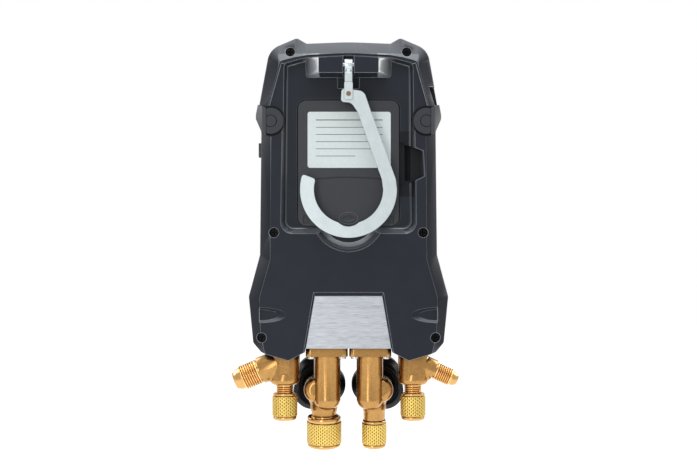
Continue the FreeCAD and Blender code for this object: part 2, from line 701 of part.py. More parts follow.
def front_shell():
    body = taper(
        (front_outline(0.0), PARTING_Y),
        (front_outline(0.0), FRONT_Y - FRONT_EDGE_DEPTH),
        (front_outline(FRONT_EDGE_INSET), FRONT_Y),
    )
    hollow = taper(
        (front_outline(WALL + 0.8), PARTING_Y - 1),
        (front_outline(WALL + 0.8), FRONT_Y - FRONT_EDGE_DEPTH - 1),
        (front_outline(FRONT_EDGE_INSET + 2.0), FRONT_Y - WALL),
    )
    body = body.cut(hollow)
    below = BLOCK_BOTTOM_Z - WINDOW_RUN_OUT
    for side in (LEFT, RIGHT):
        reach = PORT_BODY_R + PORT_BODY_GAP
        x = side * PORT_BODY_X[side]
        body = body.cut(box(x - reach, x + reach, PARTING_Y - 1, PORT_BODY_Y + reach, below, BLOCK_TOP_Z))
    for x, z, depth in case_screw_places():
        boss = rod_y(BOSS_R, x, z, PARTING_Y, FRONT_Y - WALL + 0.5)
        body = body.fuse(boss.common(taper((front_outline(0.0), PARTING_Y), (front_outline(2.0), FRONT_Y))))
        body = body.cut(rod_y(SCREW_R, x, z, PARTING_Y - 1, BACK_Y + depth + SCREW_HEAD_H + SCREW_LENGTH))
    body = body.cut(box(-BLOCK_HALF - BLOCK_GAP, BLOCK_HALF + BLOCK_GAP, 0, BLOCK_FRONT_Y + BLOCK_GAP,
                        below, BLOCK_TOP_Z + BLOCK_GAP))
    body = body.cut(lens_opening())
    for x in KEY_XS:
        body = body.cut(key_shape(x, KEY_GAP, FRONT_Y - WALL - 1, FRONT_Y + 1))
    for side in (LEFT, RIGHT):
        x, z = OUTER_VALVE
        body = body.cut(rod_y(NECK_R + 0.8, side * x, z, FRONT_Y - 9, FRONT_Y + 1))
    body = body.cut(rod_y(SIGHT_RING_R + 0.2, 0, SIGHT_Z, BLOCK_FRONT_Y, FRONT_Y + 1))
    return body.removeSplitter()


def lens_opening():
    half = LENS_HALF + LENS_GAP
    outer = rectangle(-half, half, LENS_BOTTOM_Z - LENS_GAP, LENS_TOP_Z + LENS_GAP, LENS_RADIUS + LENS_GAP)
    inner = rectangle(
        -LENS_HALF + LENS_LEDGE, LENS_HALF - LENS_LEDGE, LENS_BOTTOM_Z + LENS_LEDGE, LENS_TOP_Z - LENS_LEDGE,
        LENS_RADIUS - LENS_GAP
    )
    seat_y = FRONT_Y - LENS_THICK + LENS_PROUD
    return prism(outer, seat_y, FRONT_Y + 1).fuse(prism(inner, FRONT_Y - WALL - 3, FRONT_Y + 1))


def key_shape(x, gap, y_from, y_to):
    corners = rectangle(
        x - KEY_HALF_X - gap, x + KEY_HALF_X + gap, KEY_Z - KEY_HALF_Z - gap, KEY_Z + KEY_HALF_Z + gap,
        KEY_RADIUS + gap
    )
    return prism(corners, y_from, y_to)


def display_pieces():
    lens_back = FRONT_Y - LENS_THICK + LENS_PROUD
    pane = rectangle(-LENS_HALF, LENS_HALF, LENS_BOTTOM_Z, LENS_TOP_Z, LENS_RADIUS)
    keep("display_lens", prism(pane, lens_back, lens_back + LENS_THICK))
    display_back = lens_back - DISPLAY_GAP - DISPLAY_THICK
    keep(
        "display_module",
        box(-DISPLAY_HALF, DISPLAY_HALF, display_back, display_back + DISPLAY_THICK, DISPLAY_BOTTOM_Z,
            DISPLAY_TOP_Z),
    )
    board = prism(
        rectangle(-BOARD_HALF, BOARD_HALF, BOARD_BOTTOM_Z, BOARD_TOP_Z, 3), BOARD_Y, BOARD_Y + BOARD_THICK
    )
    for x, z, depth in case_screw_places():
        board = board.cut(rod_y(BOSS_R + 0.5, x, z, BOARD_Y - 1, BOARD_Y + BOARD_THICK + 1))
    keep("main_board", board)
    top = FRONT_Y - WALL - KEY_FLANGE - KEY_TRAVEL - SWITCH_GAP
    foot = BOARD_Y + BOARD_THICK
    switches = [
        box(x - SWITCH_HALF, x + SWITCH_HALF, foot, top, KEY_Z - SWITCH_HALF, KEY_Z + SWITCH_HALF)
        for x in KEY_XS
    ]
    keep("key_switches", *switches)


def front_keys():
    for number, x in enumerate(KEY_XS, start=1):
        inner_y = FRONT_Y - WALL
        key = key_shape(x, 0.0, inner_y - KEY_FLANGE, FRONT_Y + KEY_PROUD)
        flange = key_shape(x, 1.0, inner_y - KEY_FLANGE, inner_y - 0.02)
        keep(f"front_key_{number}", key.fuse(flange).removeSplitter())


def side_key():
    half_y, half_z = SIDE_KEY_WIDTH / 2, SIDE_KEY_LENGTH / 2
    side_x = -half_width(SIDE_KEY_Z)
    inner = side_x + SIDE_KEY_WALL + 0.02
    key = box(side_x - SIDE_KEY_PROUD, inner + SIDE_KEY_FLANGE, SIDE_KEY_Y - half_y, SIDE_KEY_Y + half_y,
              SIDE_KEY_Z - half_z, SIDE_KEY_Z + half_z)
    flange = box(inner, inner + SIDE_KEY_FLANGE, SIDE_KEY_Y - half_y - 0.8, SIDE_KEY_Y + half_y + 0.8,
                 SIDE_KEY_Z - half_z - 0.8, SIDE_KEY_Z + half_z + 0.8)
    keep("side_key", key.fuse(flange).removeSplitter())


def battery_pieces():
    corners = rectangle(-COVER_HALF, COVER_HALF, COVER_BOTTOM_Z, COVER_TOP_Z, COVER_RADIUS)
    cover = prism(corners, RECESS_FLOOR_Y, RECESS_FLOOR_Y + COVER_THICK)
    thumb_z = COVER_BOTTOM_Z + THUMB_UP
    cover = cover.cut(ellipse_cutter(0, thumb_z, THUMB_RX, THUMB_RZ, RECESS_FLOOR_Y, THUMB_RING_DEPTH))
    cover = cover.cut(ellipse_cutter(
        0, thumb_z, THUMB_RX - THUMB_RING, THUMB_RZ - THUMB_RING, RECESS_FLOOR_Y, THUMB_DEPTH, THUMB_RING / 2
    ))
    x0, x1, z0, z1 = TAB_POCKET
    for a, b in ((x0, x1), (-x1, -x0)):
        cover = cover.cut(box(a, b, RECESS_FLOOR_Y - 1, RECESS_FLOOR_Y + TAB_POCKET_DEPTH, z0, z1))
    arc_y = RECESS_FLOOR_Y + COVER_ARC_DEPTH
    centre_z = COVER_ARC_Z - COVER_ARC_R
    groove = rod_y(COVER_ARC_R, 0, centre_z, RECESS_FLOOR_Y - 1, arc_y)
    groove = groove.cut(rod_y(COVER_ARC_R - COVER_ARC_WIDTH, 0, centre_z, RECESS_FLOOR_Y - 2, arc_y + 1))
    groove = groove.common(box(-COVER_ARC_HALF, COVER_ARC_HALF, 0, 20, COVER_ARC_Z - 8, COVER_ARC_Z + 1))
    keep("battery_cover", cover.cut(groove))

    rim_y = RECESS_FLOOR_Y + FLOOR_WALL
    rim = prism(
        rectangle(
            -TRAY_HALF - TRAY_RIM, TRAY_HALF + TRAY_RIM, TRAY_BOTTOM_Z - TRAY_RIM, TRAY_TOP_Z + TRAY_RIM,
            TRAY_RADIUS
        ),
        rim_y, rim_y + TRAY_WALL
    )
    tub = prism(rectangle(-TRAY_HALF, TRAY_HALF, TRAY_BOTTOM_Z, TRAY_TOP_Z, TRAY_RADIUS), rim_y, TRAY_DEPTH_Y)
    inside = rectangle(
        -TRAY_HALF + TRAY_WALL, TRAY_HALF - TRAY_WALL, TRAY_BOTTOM_Z + TRAY_WALL, TRAY_TOP_Z - TRAY_WALL,
        TRAY_RADIUS - TRAY_WALL
    )
    tray = rim.fuse(tub).cut(prism(inside, rim_y - 1, TRAY_DEPTH_Y - TRAY_WALL))
    keep("battery_tray", tray.removeSplitter())

    cells, contacts = [], []
    for i in range(CELL_COUNT):
        z = CELL_MID_Z + (i - (CELL_COUNT - 1) / 2) * CELL_PITCH
        flip = 1 if i % 2 else -1
        start = V(-flip * CELL_LENGTH / 2, CELL_Y, z)
        along = V(flip, 0, 0)
        shoulder = CELL_LENGTH - NUB_LENGTH
        nub = [
            (0, 0), (CELL_R, 0), (CELL_R, shoulder), (NUB_R, shoulder), (NUB_R, CELL_LENGTH), (0, CELL_LENGTH)
        ]
        cells.append(turned(nub, start, along))
        contacts += [leaf_contact(end, z) for end in (LEFT, RIGHT)]
    keep("battery_cells", *cells)
    keep("battery_contacts", *contacts)


def leaf_contact(end, z):
    """A bowed leaf contact that stands on the tray's end wall and touches its cell."""
    wall = end * (TRAY_HALF - TRAY_WALL)
    tip = wall - end * CONTACT_REACH
    back = end * CONTACT_THICK
    corners = [
        (wall, z - CONTACT_HALF), (tip, z - CONTACT_TIP_HALF), (tip, z + CONTACT_TIP_HALF),
        (wall, z + CONTACT_HALF), (wall, z + CONTACT_HALF - CONTACT_THICK),
        (tip + back, z + CONTACT_TIP_HALF - CONTACT_THICK / 2),
        (tip + back, z - CONTACT_TIP_HALF + CONTACT_THICK / 2), (wall, z - CONTACT_HALF + CONTACT_THICK),
    ]
    return prism(corners, CELL_Y - CONTACT_WIDTH / 2, CELL_Y + CONTACT_WIDTH / 2)


def case_screws():
    screws = []
    for x, z, depth in case_screw_places():
        head_y = BACK_Y + depth
        head = rod_y(SCREW_HEAD_R, x, z, head_y, head_y + SCREW_HEAD_H)
        cross_y = head_y + CROSS_DEPTH
        cross = box(x - CROSS_REACH, x + CROSS_REACH, head_y - 1, cross_y, z - CROSS_HALF, z + CROSS_HALF)
        upright = box(x - CROSS_HALF, x + CROSS_HALF, head_y - 1, cross_y, z - CROSS_REACH, z + CROSS_REACH)
        cross = cross.fuse(upright)
        shank = rod_y(SCREW_R, x, z, head_y + SCREW_HEAD_H, head_y + SCREW_HEAD_H + SCREW_LENGTH)
        screws.append(head.cut(cross).fuse(shank).removeSplitter())
    keep("case_screws", *screws)


def hook_pieces():
    """The hinge pin, the knuckle that folds on it, and the hook that swivels in the knuckle."""
    keep("hook_pin", rod(PIN_R, V(-PIN_LENGTH / 2, 0, 0), V(PIN_LENGTH / 2, 0, 0)))

    knuckle = rod(KNUCKLE_R, V(-KNUCKLE_HALF, 0, 0), V(KNUCKLE_HALF, 0, 0))
    collar = turned([(0, 0), (KNUCKLE_HALF, 0), (COLLAR_R, COLLAR_LENGTH), (LINK_HALF, COLLAR_LENGTH * 1.5),
                     (0, COLLAR_LENGTH * 1.5)], V(0, 0, COLLAR_START_Z), V(0, 0, -1))
    link = box(-LINK_HALF, LINK_HALF, -LINK_HALF, LINK_HALF, LINK_END_Z, -1.0)
    knuckle = knuckle.fuse([collar, link])
    knuckle = knuckle.cut(rod(PIN_R + RUNNING, V(-9, 0, 0), V(9, 0, 0)))
    socket = V(0, 0, LINK_END_Z + SWIVEL_STEM_LENGTH + SWIVEL_GAP)
    knuckle = knuckle.cut(rod(SWIVEL_STEM_R + RUNNING, V(0, 0, LINK_END_Z - 1), socket))
    keep("hook_knuckle", knuckle.removeSplitter())

    half = HOOK_THICK / 2
    plate = prism(hook_outline_head(), -half, half)
    ring = rod_y(HOOK_R_OUT, 0, HOOK_CENTRE_Z, -half, half)
    ring = ring.cut(rod_y(HOOK_R_IN, 0, HOOK_CENTRE_Z, -half - 1, half + 1))
    ring = ring.cut(hook_mouth())
    tip = [e for e in ring.Edges if e.BoundBox.XMax < 0 and abs(e.Length - HOOK_THICK) < 0.01
           and e.BoundBox.YLength > HOOK_THICK / 2 and e.BoundBox.ZMin > HOOK_CENTRE_Z]
    ring = ring.makeFillet(HOOK_TIP_R, tip)
    dip_r = (HOOK_DIP_HALF**2 + (HOOK_DIP * 2) ** 2) / (4 * HOOK_DIP)
    dip_z = HOOK_CENTRE_Z - HOOK_R_IN - HOOK_DIP + dip_r
    plate = plate.fuse(ring).cut(rod_y(dip_r, 0, dip_z, -half - 1, half + 1))
    fork_top = LINK_END_Z - SWIVEL_GAP
    fork = prism(rectangle(-FORK_HALF, FORK_HALF, FORK_END_Z, fork_top, 0.8), -FORK_THICK / 2, FORK_THICK / 2)
    stem = rod(SWIVEL_STEM_R, V(0, 0, fork_top - 1), V(0, 0, fork_top + SWIVEL_STEM_LENGTH))
    hook = plate.fuse([fork, stem]).cut(rod_y(RIVET_R, 0, RIVET_Z, -9, 9))
    keep("hook", hook.removeSplitter())

    head = 0.7
    rivet = rod_y(RIVET_R, 0, RIVET_Z, -FORK_THICK / 2 - head, FORK_THICK / 2 + head)
    for y0 in (-FORK_THICK / 2 - head, FORK_THICK / 2):
        rivet = rivet.fuse(rod_y(RIVET_HEAD_R, 0, RIVET_Z, y0, y0 + head))
    keep("hook_rivet", rivet.removeSplitter())


def hook_outline_head():
    """The hook's arm from its head down to where it runs into the ring."""
    return [
        (-4.6, -22.6, 1.8), (1.6, -23.2, 4.0), (5.4, -28.4, 6.0), (20.2, -69.6, 8.0), (21.0, -76.0, 0.0),
        (29.4, -76.0, 0.0), (28.7, -69.6, 12.0), (13.6, -28.4, 8.0), (9.4, -16.2, 5.0), (-4.2, -14.4, 2.0),
    ]


def hook_mouth():
    """What is cut from the ring to leave its open mouth between the tip and the arm."""
    tip = math.radians(HOOK_TIP_ANGLE)
    far = HOOK_R_OUT + 12
    mid = (HOOK_R_OUT + HOOK_R_IN) / 2
    tip_x, tip_z = mid * math.cos(tip), HOOK_CENTRE_Z + mid * math.sin(tip)
    corners = [
        (tip_x - 14, tip_z + 5.6), (-14.0, tip_z - 3.3), (0, HOOK_CENTRE_Z + 1), (21.5, HOOK_CENTRE_Z + 0.2),
        (far, HOOK_CENTRE_Z + 0.2), (far, HOOK_CENTRE_Z + far), (-far, HOOK_CENTRE_Z + far),
    ]
    return prism(corners, -HOOK_THICK, HOOK_THICK)


def socket_ends(side):
    """The inner and outer end of a probe socket in the side wall."""
    outer = side * (half_width(SOCKET_Z) - SOCKET_INSET)
    return V(outer - side * SOCKET_DEPTH, SOCKET_Y, SOCKET_Z), V(outer, SOCKET_Y, SOCKET_Z)


def socket_pieces():
    anchors, sockets = [], []
    for side in (LEFT, RIGHT):
        seat_y = BACK_Y + EDGE_STEP
        disc = rod_y(ANCHOR_R, side * ANCHOR_X, ANCHOR_Z, BACK_Y - ANCHOR_PROUD, seat_y)
        x0, x1 = sorted((side * ANCHOR_CUT_X, side * 70))
        disc = disc.cut(box(x0, x1, -9, 20, -60, 0))
        groove = rod_y(RIVET_PLUG_R + 0.25, side * ANCHOR_X, ANCHOR_Z, BACK_Y - 2, BACK_Y - ANCHOR_PROUD + 0.5)
        groove = groove.cut(rod_y(RIVET_PLUG_R, side * ANCHOR_X, ANCHOR_Z, BACK_Y - 3, BACK_Y + 3))
        anchors.append(disc.cut(groove))
        keep(f"socket_flap_{side_of(side)}", socket_flap(side))
        inner, outer = socket_ends(side)
        socket = rod(SOCKET_R, inner, outer)
        socket = socket.cut(rod(SOCKET_R - 1.0, inner + V(side * 3, 0, 0), outer + V(side, 0, 0)))
        sockets.append(socket)
    keep("socket_cover_anchors", *anchors)
    keep("probe_sockets", *sockets)


def socket_flap(side):
    """The rubber flap: a strap over the sloping band and a pointed plate over the side socket."""
    top_y = BACK_Y - ANCHOR_PROUD
    plate = prism([(side * x, z) for x, z in FLAP_OUTLINE], top_y, FLAP_END_Y)
    back = beside_flap(side, BACK_OUTLINE)
    wall = beside_flap(side, OUTLINE)
    inside = taper((back, BACK_Y - FLAP_GAP / 2), (wall, BACK_Y + CHAMFER_DEPTH), (wall, FLAP_END_Y + 1))
    outer = FLAP_OUTLINE[2][0]
    low_z = FLAP_OUTLINE[0][1] - 1
    slope = Part.Face(Part.makePolygon([
        V(side * FLAP_SHOULDER_X, top_y, low_z),
        V(side * (outer + 1), top_y, low_z),
        V(side * (outer + 1), top_y + FLAP_SLOPE_Y, low_z),
        V(side * outer, top_y + FLAP_SLOPE_Y, low_z),
        V(side * FLAP_SHOULDER_X, top_y, low_z),
    ])).extrude(V(0, 0, 30))
    return plate.cut(inside).cut(slope).removeSplitter()


def beside_flap(side, corners):
    """The housing outline near a flap, widened by the flap's gap and closed at the middle."""
    near = [(side * (x + FLAP_GAP), z, radius) for x, z, radius in corners[4:9]]
    return [(0.0, near[0][1])] + near + [(0.0, near[-1][1])]


def valve_block():
    window = [(BLOCK_WINDOW_BOTTOM, BLOCK_BOTTOM_Z), (BLOCK_WINDOW_TOP, BLOCK_TOP_Z)]
    block = prism(mirrored(window), BLOCK_FACE_Y, BLOCK_BODY_Y + 1)
    body = rectangle(-BLOCK_HALF, BLOCK_HALF, BLOCK_BOTTOM_Z, BLOCK_TOP_Z)
    block = block.fuse(prism(body, BLOCK_BODY_Y, BLOCK_FRONT_Y))
    x, z = OUTER_VALVE
    for side in (LEFT, RIGHT):
        block = block.cut(rod_y(THREAD_R, side * x, z, BLOCK_FRONT_Y - THREAD_LENGTH, BLOCK_FRONT_Y + 1))
        block = block.cut(rod_y(CHAMBER_R, side * x, z, CHAMBER_Y, BLOCK_FRONT_Y))
        block = block.cut(rod_y(PASSAGE_R, side * x, z, CHAMBER_Y - 4, CHAMBER_Y + 1))
        for port_x, port_y in ((PORT_BODY_X[side], PORT_BODY_Y), (CENTRE_VALVE[0] - SUPPLY_OFFSET, SUPPLY_Y)):
            foot = V(side * port_x, port_y, BLOCK_BOTTOM_Z - 1)
            block = block.cut(rod(PASSAGE_R, foot, V(side * port_x, port_y, z)))
        sensor = V(side * SENSOR_X, SENSOR_Y, BLOCK_TOP_Z + 1)
        block = block.cut(rod(PASSAGE_R, V(side * SENSOR_X, SENSOR_Y, z), sensor))
        for dx, dy in flange_screw_offsets():
            hole = V(side * FLANGE_X + dx, FLANGE_Y + dy, BLOCK_BOTTOM_Z - 1)
            block = block.cut(rod(FLANGE_SCREW_R, hole, hole + V(0, 0, FLANGE_SCREW_LENGTH - FLANGE_THICK + 1)))
    block = block.cut(rod(GALLERY_R, V(-x, GALLERY_Y, z), V(x, GALLERY_Y, z)))
    block = block.cut(rod_y(SIGHT_R, 0, SIGHT_Z, BLOCK_FRONT_Y - SIGHT_DEPTH, BLOCK_FRONT_Y + 1))
    keep("valve_block", block.removeSplitter())


def flange_screw_offsets():
    return [(a * FLANGE_SCREW_DX, b * FLANGE_SCREW_DY) for a in (-1, 1) for b in (-1, 1)]


def block_fittings():
    glass_y = BLOCK_FRONT_Y - SIGHT_DEPTH + SIGHT_GLASS_INSET
    keep("sight_glass", rod_y(SIGHT_R, 0, SIGHT_Z, glass_y, glass_y + SIGHT_GLASS_THICK))
    ring = rod_y(SIGHT_RING_R, 0, SIGHT_Z, BLOCK_FRONT_Y, FRONT_Y + SIGHT_RING_PROUD)
    ring = ring.cut(rod_y(SIGHT_R - SIGHT_LIP, 0, SIGHT_Z, BLOCK_FRONT_Y - 1, FRONT_Y + 5))
    keep("sight_glass_ring", ring)
    sensors = []
    for side in (LEFT, RIGHT):
        foot = V(side * SENSOR_X, SENSOR_Y, BLOCK_TOP_Z)
        profile = [
            (0, 0), (SENSOR_R, 0), (SENSOR_R, SENSOR_STEP), (SENSOR_STEP_R, SENSOR_STEP),
            (SENSOR_STEP_R, SENSOR_HEIGHT), (0, SENSOR_HEIGHT),
        ]
        sensors.append(turned(profile, foot, V(0, 0, 1)))
    keep("pressure_sensors", *sensors)
    screws = []
    for side in (LEFT, RIGHT):
        for dx, dy in flange_screw_offsets():
            seat = V(side * FLANGE_X + dx, FLANGE_Y + dy, BLOCK_BOTTOM_Z - FLANGE_THICK)
            head = rod(FLANGE_SCREW_HEAD_R, seat - V(0, 0, FLANGE_SCREW_HEAD_H), seat)
            low = [e for e in head.Edges if e.BoundBox.ZMax < seat.z - FLANGE_SCREW_HEAD_H + 0.1]
            head = head.makeFillet(FLANGE_HEAD_ROUND, low)
            open_end = seat - V(0, 0, FLANGE_SCREW_HEAD_H + 1)
            head = head.cut(rod(FLANGE_SOCKET_R, open_end, seat - V(0, 0, FLANGE_SOCKET_FLOOR)))
            screws.append(head.fuse(rod(FLANGE_SCREW_R, seat, seat + V(0, 0, FLANGE_SCREW_LENGTH))))
    keep("flange_screws", *[s.removeSplitter() for s in screws])


def valve_places():
    """(name, x, z) of the four valves."""
    ox, oz = OUTER_VALVE
    cx, cz = CENTRE_VALVE
    return [
        ("outer_left", -ox, oz),
        ("centre_left", -cx, cz),
        ("centre_right", cx, cz),
        ("outer_right", ox, oz),
    ]


def bonnet(x, z):
    """A valve bonnet: thread, hexagon and neck, bored for the piston and the spindle."""
    seat = BLOCK_FRONT_Y
    shape = rod_y(THREAD_R, x, z, seat - THREAD_LENGTH, seat)
    shape = shape.fuse(prism(hexagon(HEX_AF, x, z), seat, seat + HEX_LENGTH))
    shape = shape.fuse(rod_y(NECK_R, x, z, seat + HEX_LENGTH, NECK_END_Y))
    shape = shape.cut(rod_y(PISTON_BORE_R, x, z, seat - THREAD_LENGTH - 1, BONNET_BORE_END_Y))
    shape = shape.cut(rod_y(SPINDLE_R + RUNNING, x, z, BONNET_BORE_END_Y - 1, NECK_END_Y + 1))
    return shape.removeSplitter()


def piston(x, z):
    """The piston that the spindle's thread draws off its seat."""
    start = CHAMBER_Y + PISTON_SEAT_GAP
    body = rod_y(PISTON_BORE_R - RUNNING, x, z, start, start + PISTON_LENGTH)
    bore_start = SPINDLE_START_Y - PISTON_LIFT - SPINDLE_CLEAR
    return body.cut(rod_y(SPINDLE_R + RUNNING, x, z, bore_start, start + PISTON_LENGTH + 1))


def lobed(x, z, turn, inset):
    """The knob's three-lobed outline, moved inwards by inset."""
    corners = []
    for k in range(3):
        angle = math.radians(turn + 120 * k)
        reach = 2 * (KNOB_FLAT_R - inset)
        corners.append((x + reach * math.cos(angle), z + reach * math.sin(angle), KNOB_LOBE_R - inset))
    return corners


def knob(x, z):
    """A three-lobed hand knob with a round skirt, a hollow behind and a hub on the spindle."""
    front = KNOB_BACK_Y + KNOB_LENGTH
    turn = 69.0 if x > 0 else 111.0
    flare_y = KNOB_BACK_Y + KNOB_SKIRT
    grip = taper(
        (lobed(x, z, turn, KNOB_FLAT_R - KNOB_RIM_R + 0.6), flare_y),
        (lobed(x, z, turn, 0.0), flare_y + KNOB_FLARE),
        (lobed(x, z, turn, 0.0), front - KNOB_FRONT_EDGE),
        (lobed(x, z, turn, KNOB_FRONT_EDGE), front),
    )
    shape = grip.fuse(rod_y(KNOB_RIM_R, x, z, KNOB_BACK_Y, flare_y + KNOB_FLARE))
    hollow = rod_y(KNOB_HOLLOW_R, x, z, KNOB_BACK_Y - 1, KNOB_HOLLOW_Y)
    hollow = hollow.cut(rod_y(KNOB_HUB_R, x, z, KNOB_HUB_Y, KNOB_HOLLOW_Y))
    shape = shape.cut(hollow)
    shape = shape.cut(rod_y(KNOB_INSERT_R + 0.1, x, z, front - KNOB_INSERT_DEPTH, front + 1))
    return shape.cut(rod_y(SPINDLE_R, x, z, KNOB_HUB_Y - 1, front - KNOB_INSERT_DEPTH - 3))


def valves():
    bonnets = []
    for name, x, z in valve_places():
        front = KNOB_BACK_Y + KNOB_LENGTH
        keep(f"knob_{name}", knob(x, z))
        keep(f"spindle_{name}", rod_y(SPINDLE_R, x, z, SPINDLE_START_Y, front - KNOB_INSERT_DEPTH - 3))
        keep(f"piston_{name}", piston(x, z))
        keep(f"knob_insert_{name}", rod_y(KNOB_INSERT_R, x, z, front - KNOB_INSERT_DEPTH, front - 0.2))
        bonnets.append(bonnet(x, z))
    keep("valve_bonnets", *bonnets)


def port_line(side):
    """The start and direction of a centre port's axis, which leans towards the display."""
    tilt = math.radians(PORT_TILT)
    start = V(side * CENTRE_PORTS[side]["x"], PORT_Y, PORT_START_Z)
    return start, V(0, math.sin(tilt), -math.cos(tilt))


def centre_valve_body(side):
    """A flanged valve body: column from the block, barrel to the knob, and a leaning port tube."""
    size = CENTRE_PORTS[side]["size"]
    cx, cz = side * CENTRE_VALVE[0], CENTRE_VALVE[1]
    top, bottom = BLOCK_BOTTOM_Z, BLOCK_BOTTOM_Z - FLANGE_THICK
    fx = side * FLANGE_X
    column_x = side * COLUMN_X
    flange = box(fx - FLANGE_HALF_X, fx + FLANGE_HALF_X, FLANGE_Y - FLANGE_HALF_Y, FLANGE_Y + FLANGE_HALF_Y,
                 bottom, top)
    upright = [e for e in flange.Edges if abs(e.Vertexes[0].Z - e.Vertexes[1].Z) > 1]
    flange = flange.makeFillet(FLANGE_RADIUS, upright)
    for dx, dy in flange_screw_offsets():
        foot = V(fx + dx, FLANGE_Y + dy, bottom - 1)
        flange = flange.cut(rod(FLANGE_SCREW_R, foot, foot + V(0, 0, FLANGE_THICK + 2)))
    column = rod(COLUMN_R, V(column_x, COLUMN_Y, COLUMN_BOTTOM_Z), V(column_x, COLUMN_Y, bottom))
    foot_edge = [e for e in column.Edges if e.BoundBox.ZMax < COLUMN_BOTTOM_Z + 0.1]
    column = column.makeFillet(COLUMN_ROUND, foot_edge)
    barrel = rod_y(BARREL_R, cx, cz, BARREL_START_Y, BLOCK_FRONT_Y)
    back_edge = [e for e in barrel.Edges if e.BoundBox.YMax < BARREL_START_Y + 0.1]
    barrel = barrel.makeFillet(BARREL_ROUND, back_edge)
    start, along = port_line(side)
    elbow = start + along * ELBOW_DEPTH
    branch = rod(size["tube_r"] - ELBOW_STEP, V(cx, PORT_Y, cz), elbow)
    tube_end = start + along * (CENTRE_PORTS[side]["cap_start"] - TUBE_GAP)
    tube = rod(size["tube_r"], elbow, tube_end)
    ball = Part.makeSphere(size["tube_r"] + ELBOW_STEP, elbow)
    ball = ball.cut(rod(size["tube_r"] + 4, tube_end, tube_end + along * 9))
    body = flange.fuse([column, barrel, branch, ball, tube])
    body = body.cut(rod_y(THREAD_R, cx, cz, BLOCK_FRONT_Y - THREAD_LENGTH, BLOCK_FRONT_Y + 1))
    body = body.cut(rod_y(CHAMBER_R, cx, cz, CHAMBER_Y, BLOCK_FRONT_Y))
    supply_x = side * (CENTRE_VALVE[0] - SUPPLY_OFFSET)
    body = body.cut(rod(SUPPLY_R, V(supply_x, SUPPLY_Y, top + 1), V(supply_x, SUPPLY_Y, cz)))
    passage = rod(PASSAGE_R, V(cx, PORT_Y - 2, cz), elbow)
    return body.cut(passage.fuse(rod(PASSAGE_R, elbow, start + along * 30)))


def nipple(size, start, along, length):
    """A threaded port end with its flare nose, bored through."""
    r = size["thread_r"]
    straight = length - NOSE_LENGTH
    profile = [(PASSAGE_R, 0), (r, 0), (r, straight), (r - 2.0, length), (PASSAGE_R, length)]
    return turned(profile, start, along)


def cap(size, start, along, length, bore_depth):
    """A sealing cap: a knurled band between two plain rims, bored for the port and its seal."""
    r = size["cap_r"]
    bore = size["thread_r"] + CAP_BORE_GAP
    rim = r - CAP_RIM
    band_end = length - CAP_END_RIM
    profile = [
        (bore, 0), (rim, 0), (rim, CAP_TOP_RIM), (r, CAP_TOP_RIM), (r, band_end), (rim, band_end),
        (rim, length - CAP_END_ROUND), (rim - CAP_END_ROUND, length), (0, length), (0, bore_depth),
        (bore, bore_depth),
    ]
    return turned(profile, start, along)


def ports():
    """Nipples, caps and seals of the four ports."""
    nipples = []
    down = V(0, 0, -1)
    for side in (LEFT, RIGHT):
        start, along = port_line(side)
        spec = CENTRE_PORTS[side]
        tube_end = start + along * (spec["cap_start"] - TUBE_GAP)
        cap_start = start + along * spec["cap_start"]
        add_port(
            f"centre_{side_of(side)}", spec["size"], nipples, tube_end, cap_start, along, spec["cap_length"]
        )
        outer = V(side * PORT_BODY_X[side], PORT_BODY_Y, PORT_BODY_BOTTOM_Z)
        cap_top = outer + down * OUTER_CAP_GAP
        add_port(f"outer_{side_of(side)}", QUARTER, nipples, outer, cap_top, down, OUTER_CAP_LENGTH)
    keep("port_nipples", *nipples)


def add_port(name, size, nipples, nipple_start, cap_start, along, cap_length):
    """One port: its nipple ends on the seal, and the seal fills the bottom of the cap's bore."""
    bore_depth = cap_length - CAP_WALL_END
    seal_start = bore_depth - SEAL_THICK
    nipple_length = (cap_start - nipple_start).Length + seal_start - SEAL_GAP
    nipples.append(nipple(size, nipple_start, along, nipple_length))
    keep(f"cap_{name}", cap(size, cap_start, along, cap_length, bore_depth))
    seal = rod(size["thread_r"] - SEAL_INSET, cap_start + along * seal_start, cap_start + along * bore_depth)
    keep(f"cap_seal_{name}", seal)


def outer_port_body(side):
    """A port body under the block, with flats for a wrench and a boss for the parking stub."""
    x = side * PORT_BODY_X[side]
    top = BLOCK_BOTTOM_Z
    body = rod(PORT_BODY_R, V(x, PORT_BODY_Y, PORT_BODY_BOTTOM_Z), V(x, PORT_BODY_Y, top))
    foot_edge = [e for e in body.Edges if e.BoundBox.ZMax < PORT_BODY_BOTTOM_Z + 0.1]
    body = body.makeFillet(PORT_BODY_ROUND, foot_edge)
    spec = STUBS[side]
    start, along = stub_line(side)
    collar_end = spec["collar"] - 2 * STUB_STEP
    body = body.fuse(rod(spec["collar_r"], start, start + along * collar_end))
    joint = [e for e in body.Edges if e.Curve.TypeId == "Part::GeomBSplineCurve"]
    body = body.makeFillet(STUB_BLEND, joint)
    flat_y = PORT_BODY_Y - PORT_BODY_R + PORT_FLAT
    body = body.cut(box(x - PORT_FLAT_HALF, x + PORT_FLAT_HALF, flat_y - PORT_BODY_R, flat_y,
                        PORT_BODY_BOTTOM_Z + PORT_FLAT_UP, top - PORT_FLAT_DOWN))
    body = body.cut(rod(PASSAGE_R, V(x, PORT_BODY_Y, PORT_BODY_BOTTOM_Z - 1), V(x, PORT_BODY_Y, top + 1)))
    return body.removeSplitter()


def stub_line(side):
    angle = math.radians(STUB_ANGLE[side])
    start = V(side * PORT_BODY_X[side], PORT_BODY_Y, BLOCK_BOTTOM_Z - STUB_DROP)
    return start, V(side * math.cos(angle), 0, -math.sin(angle))


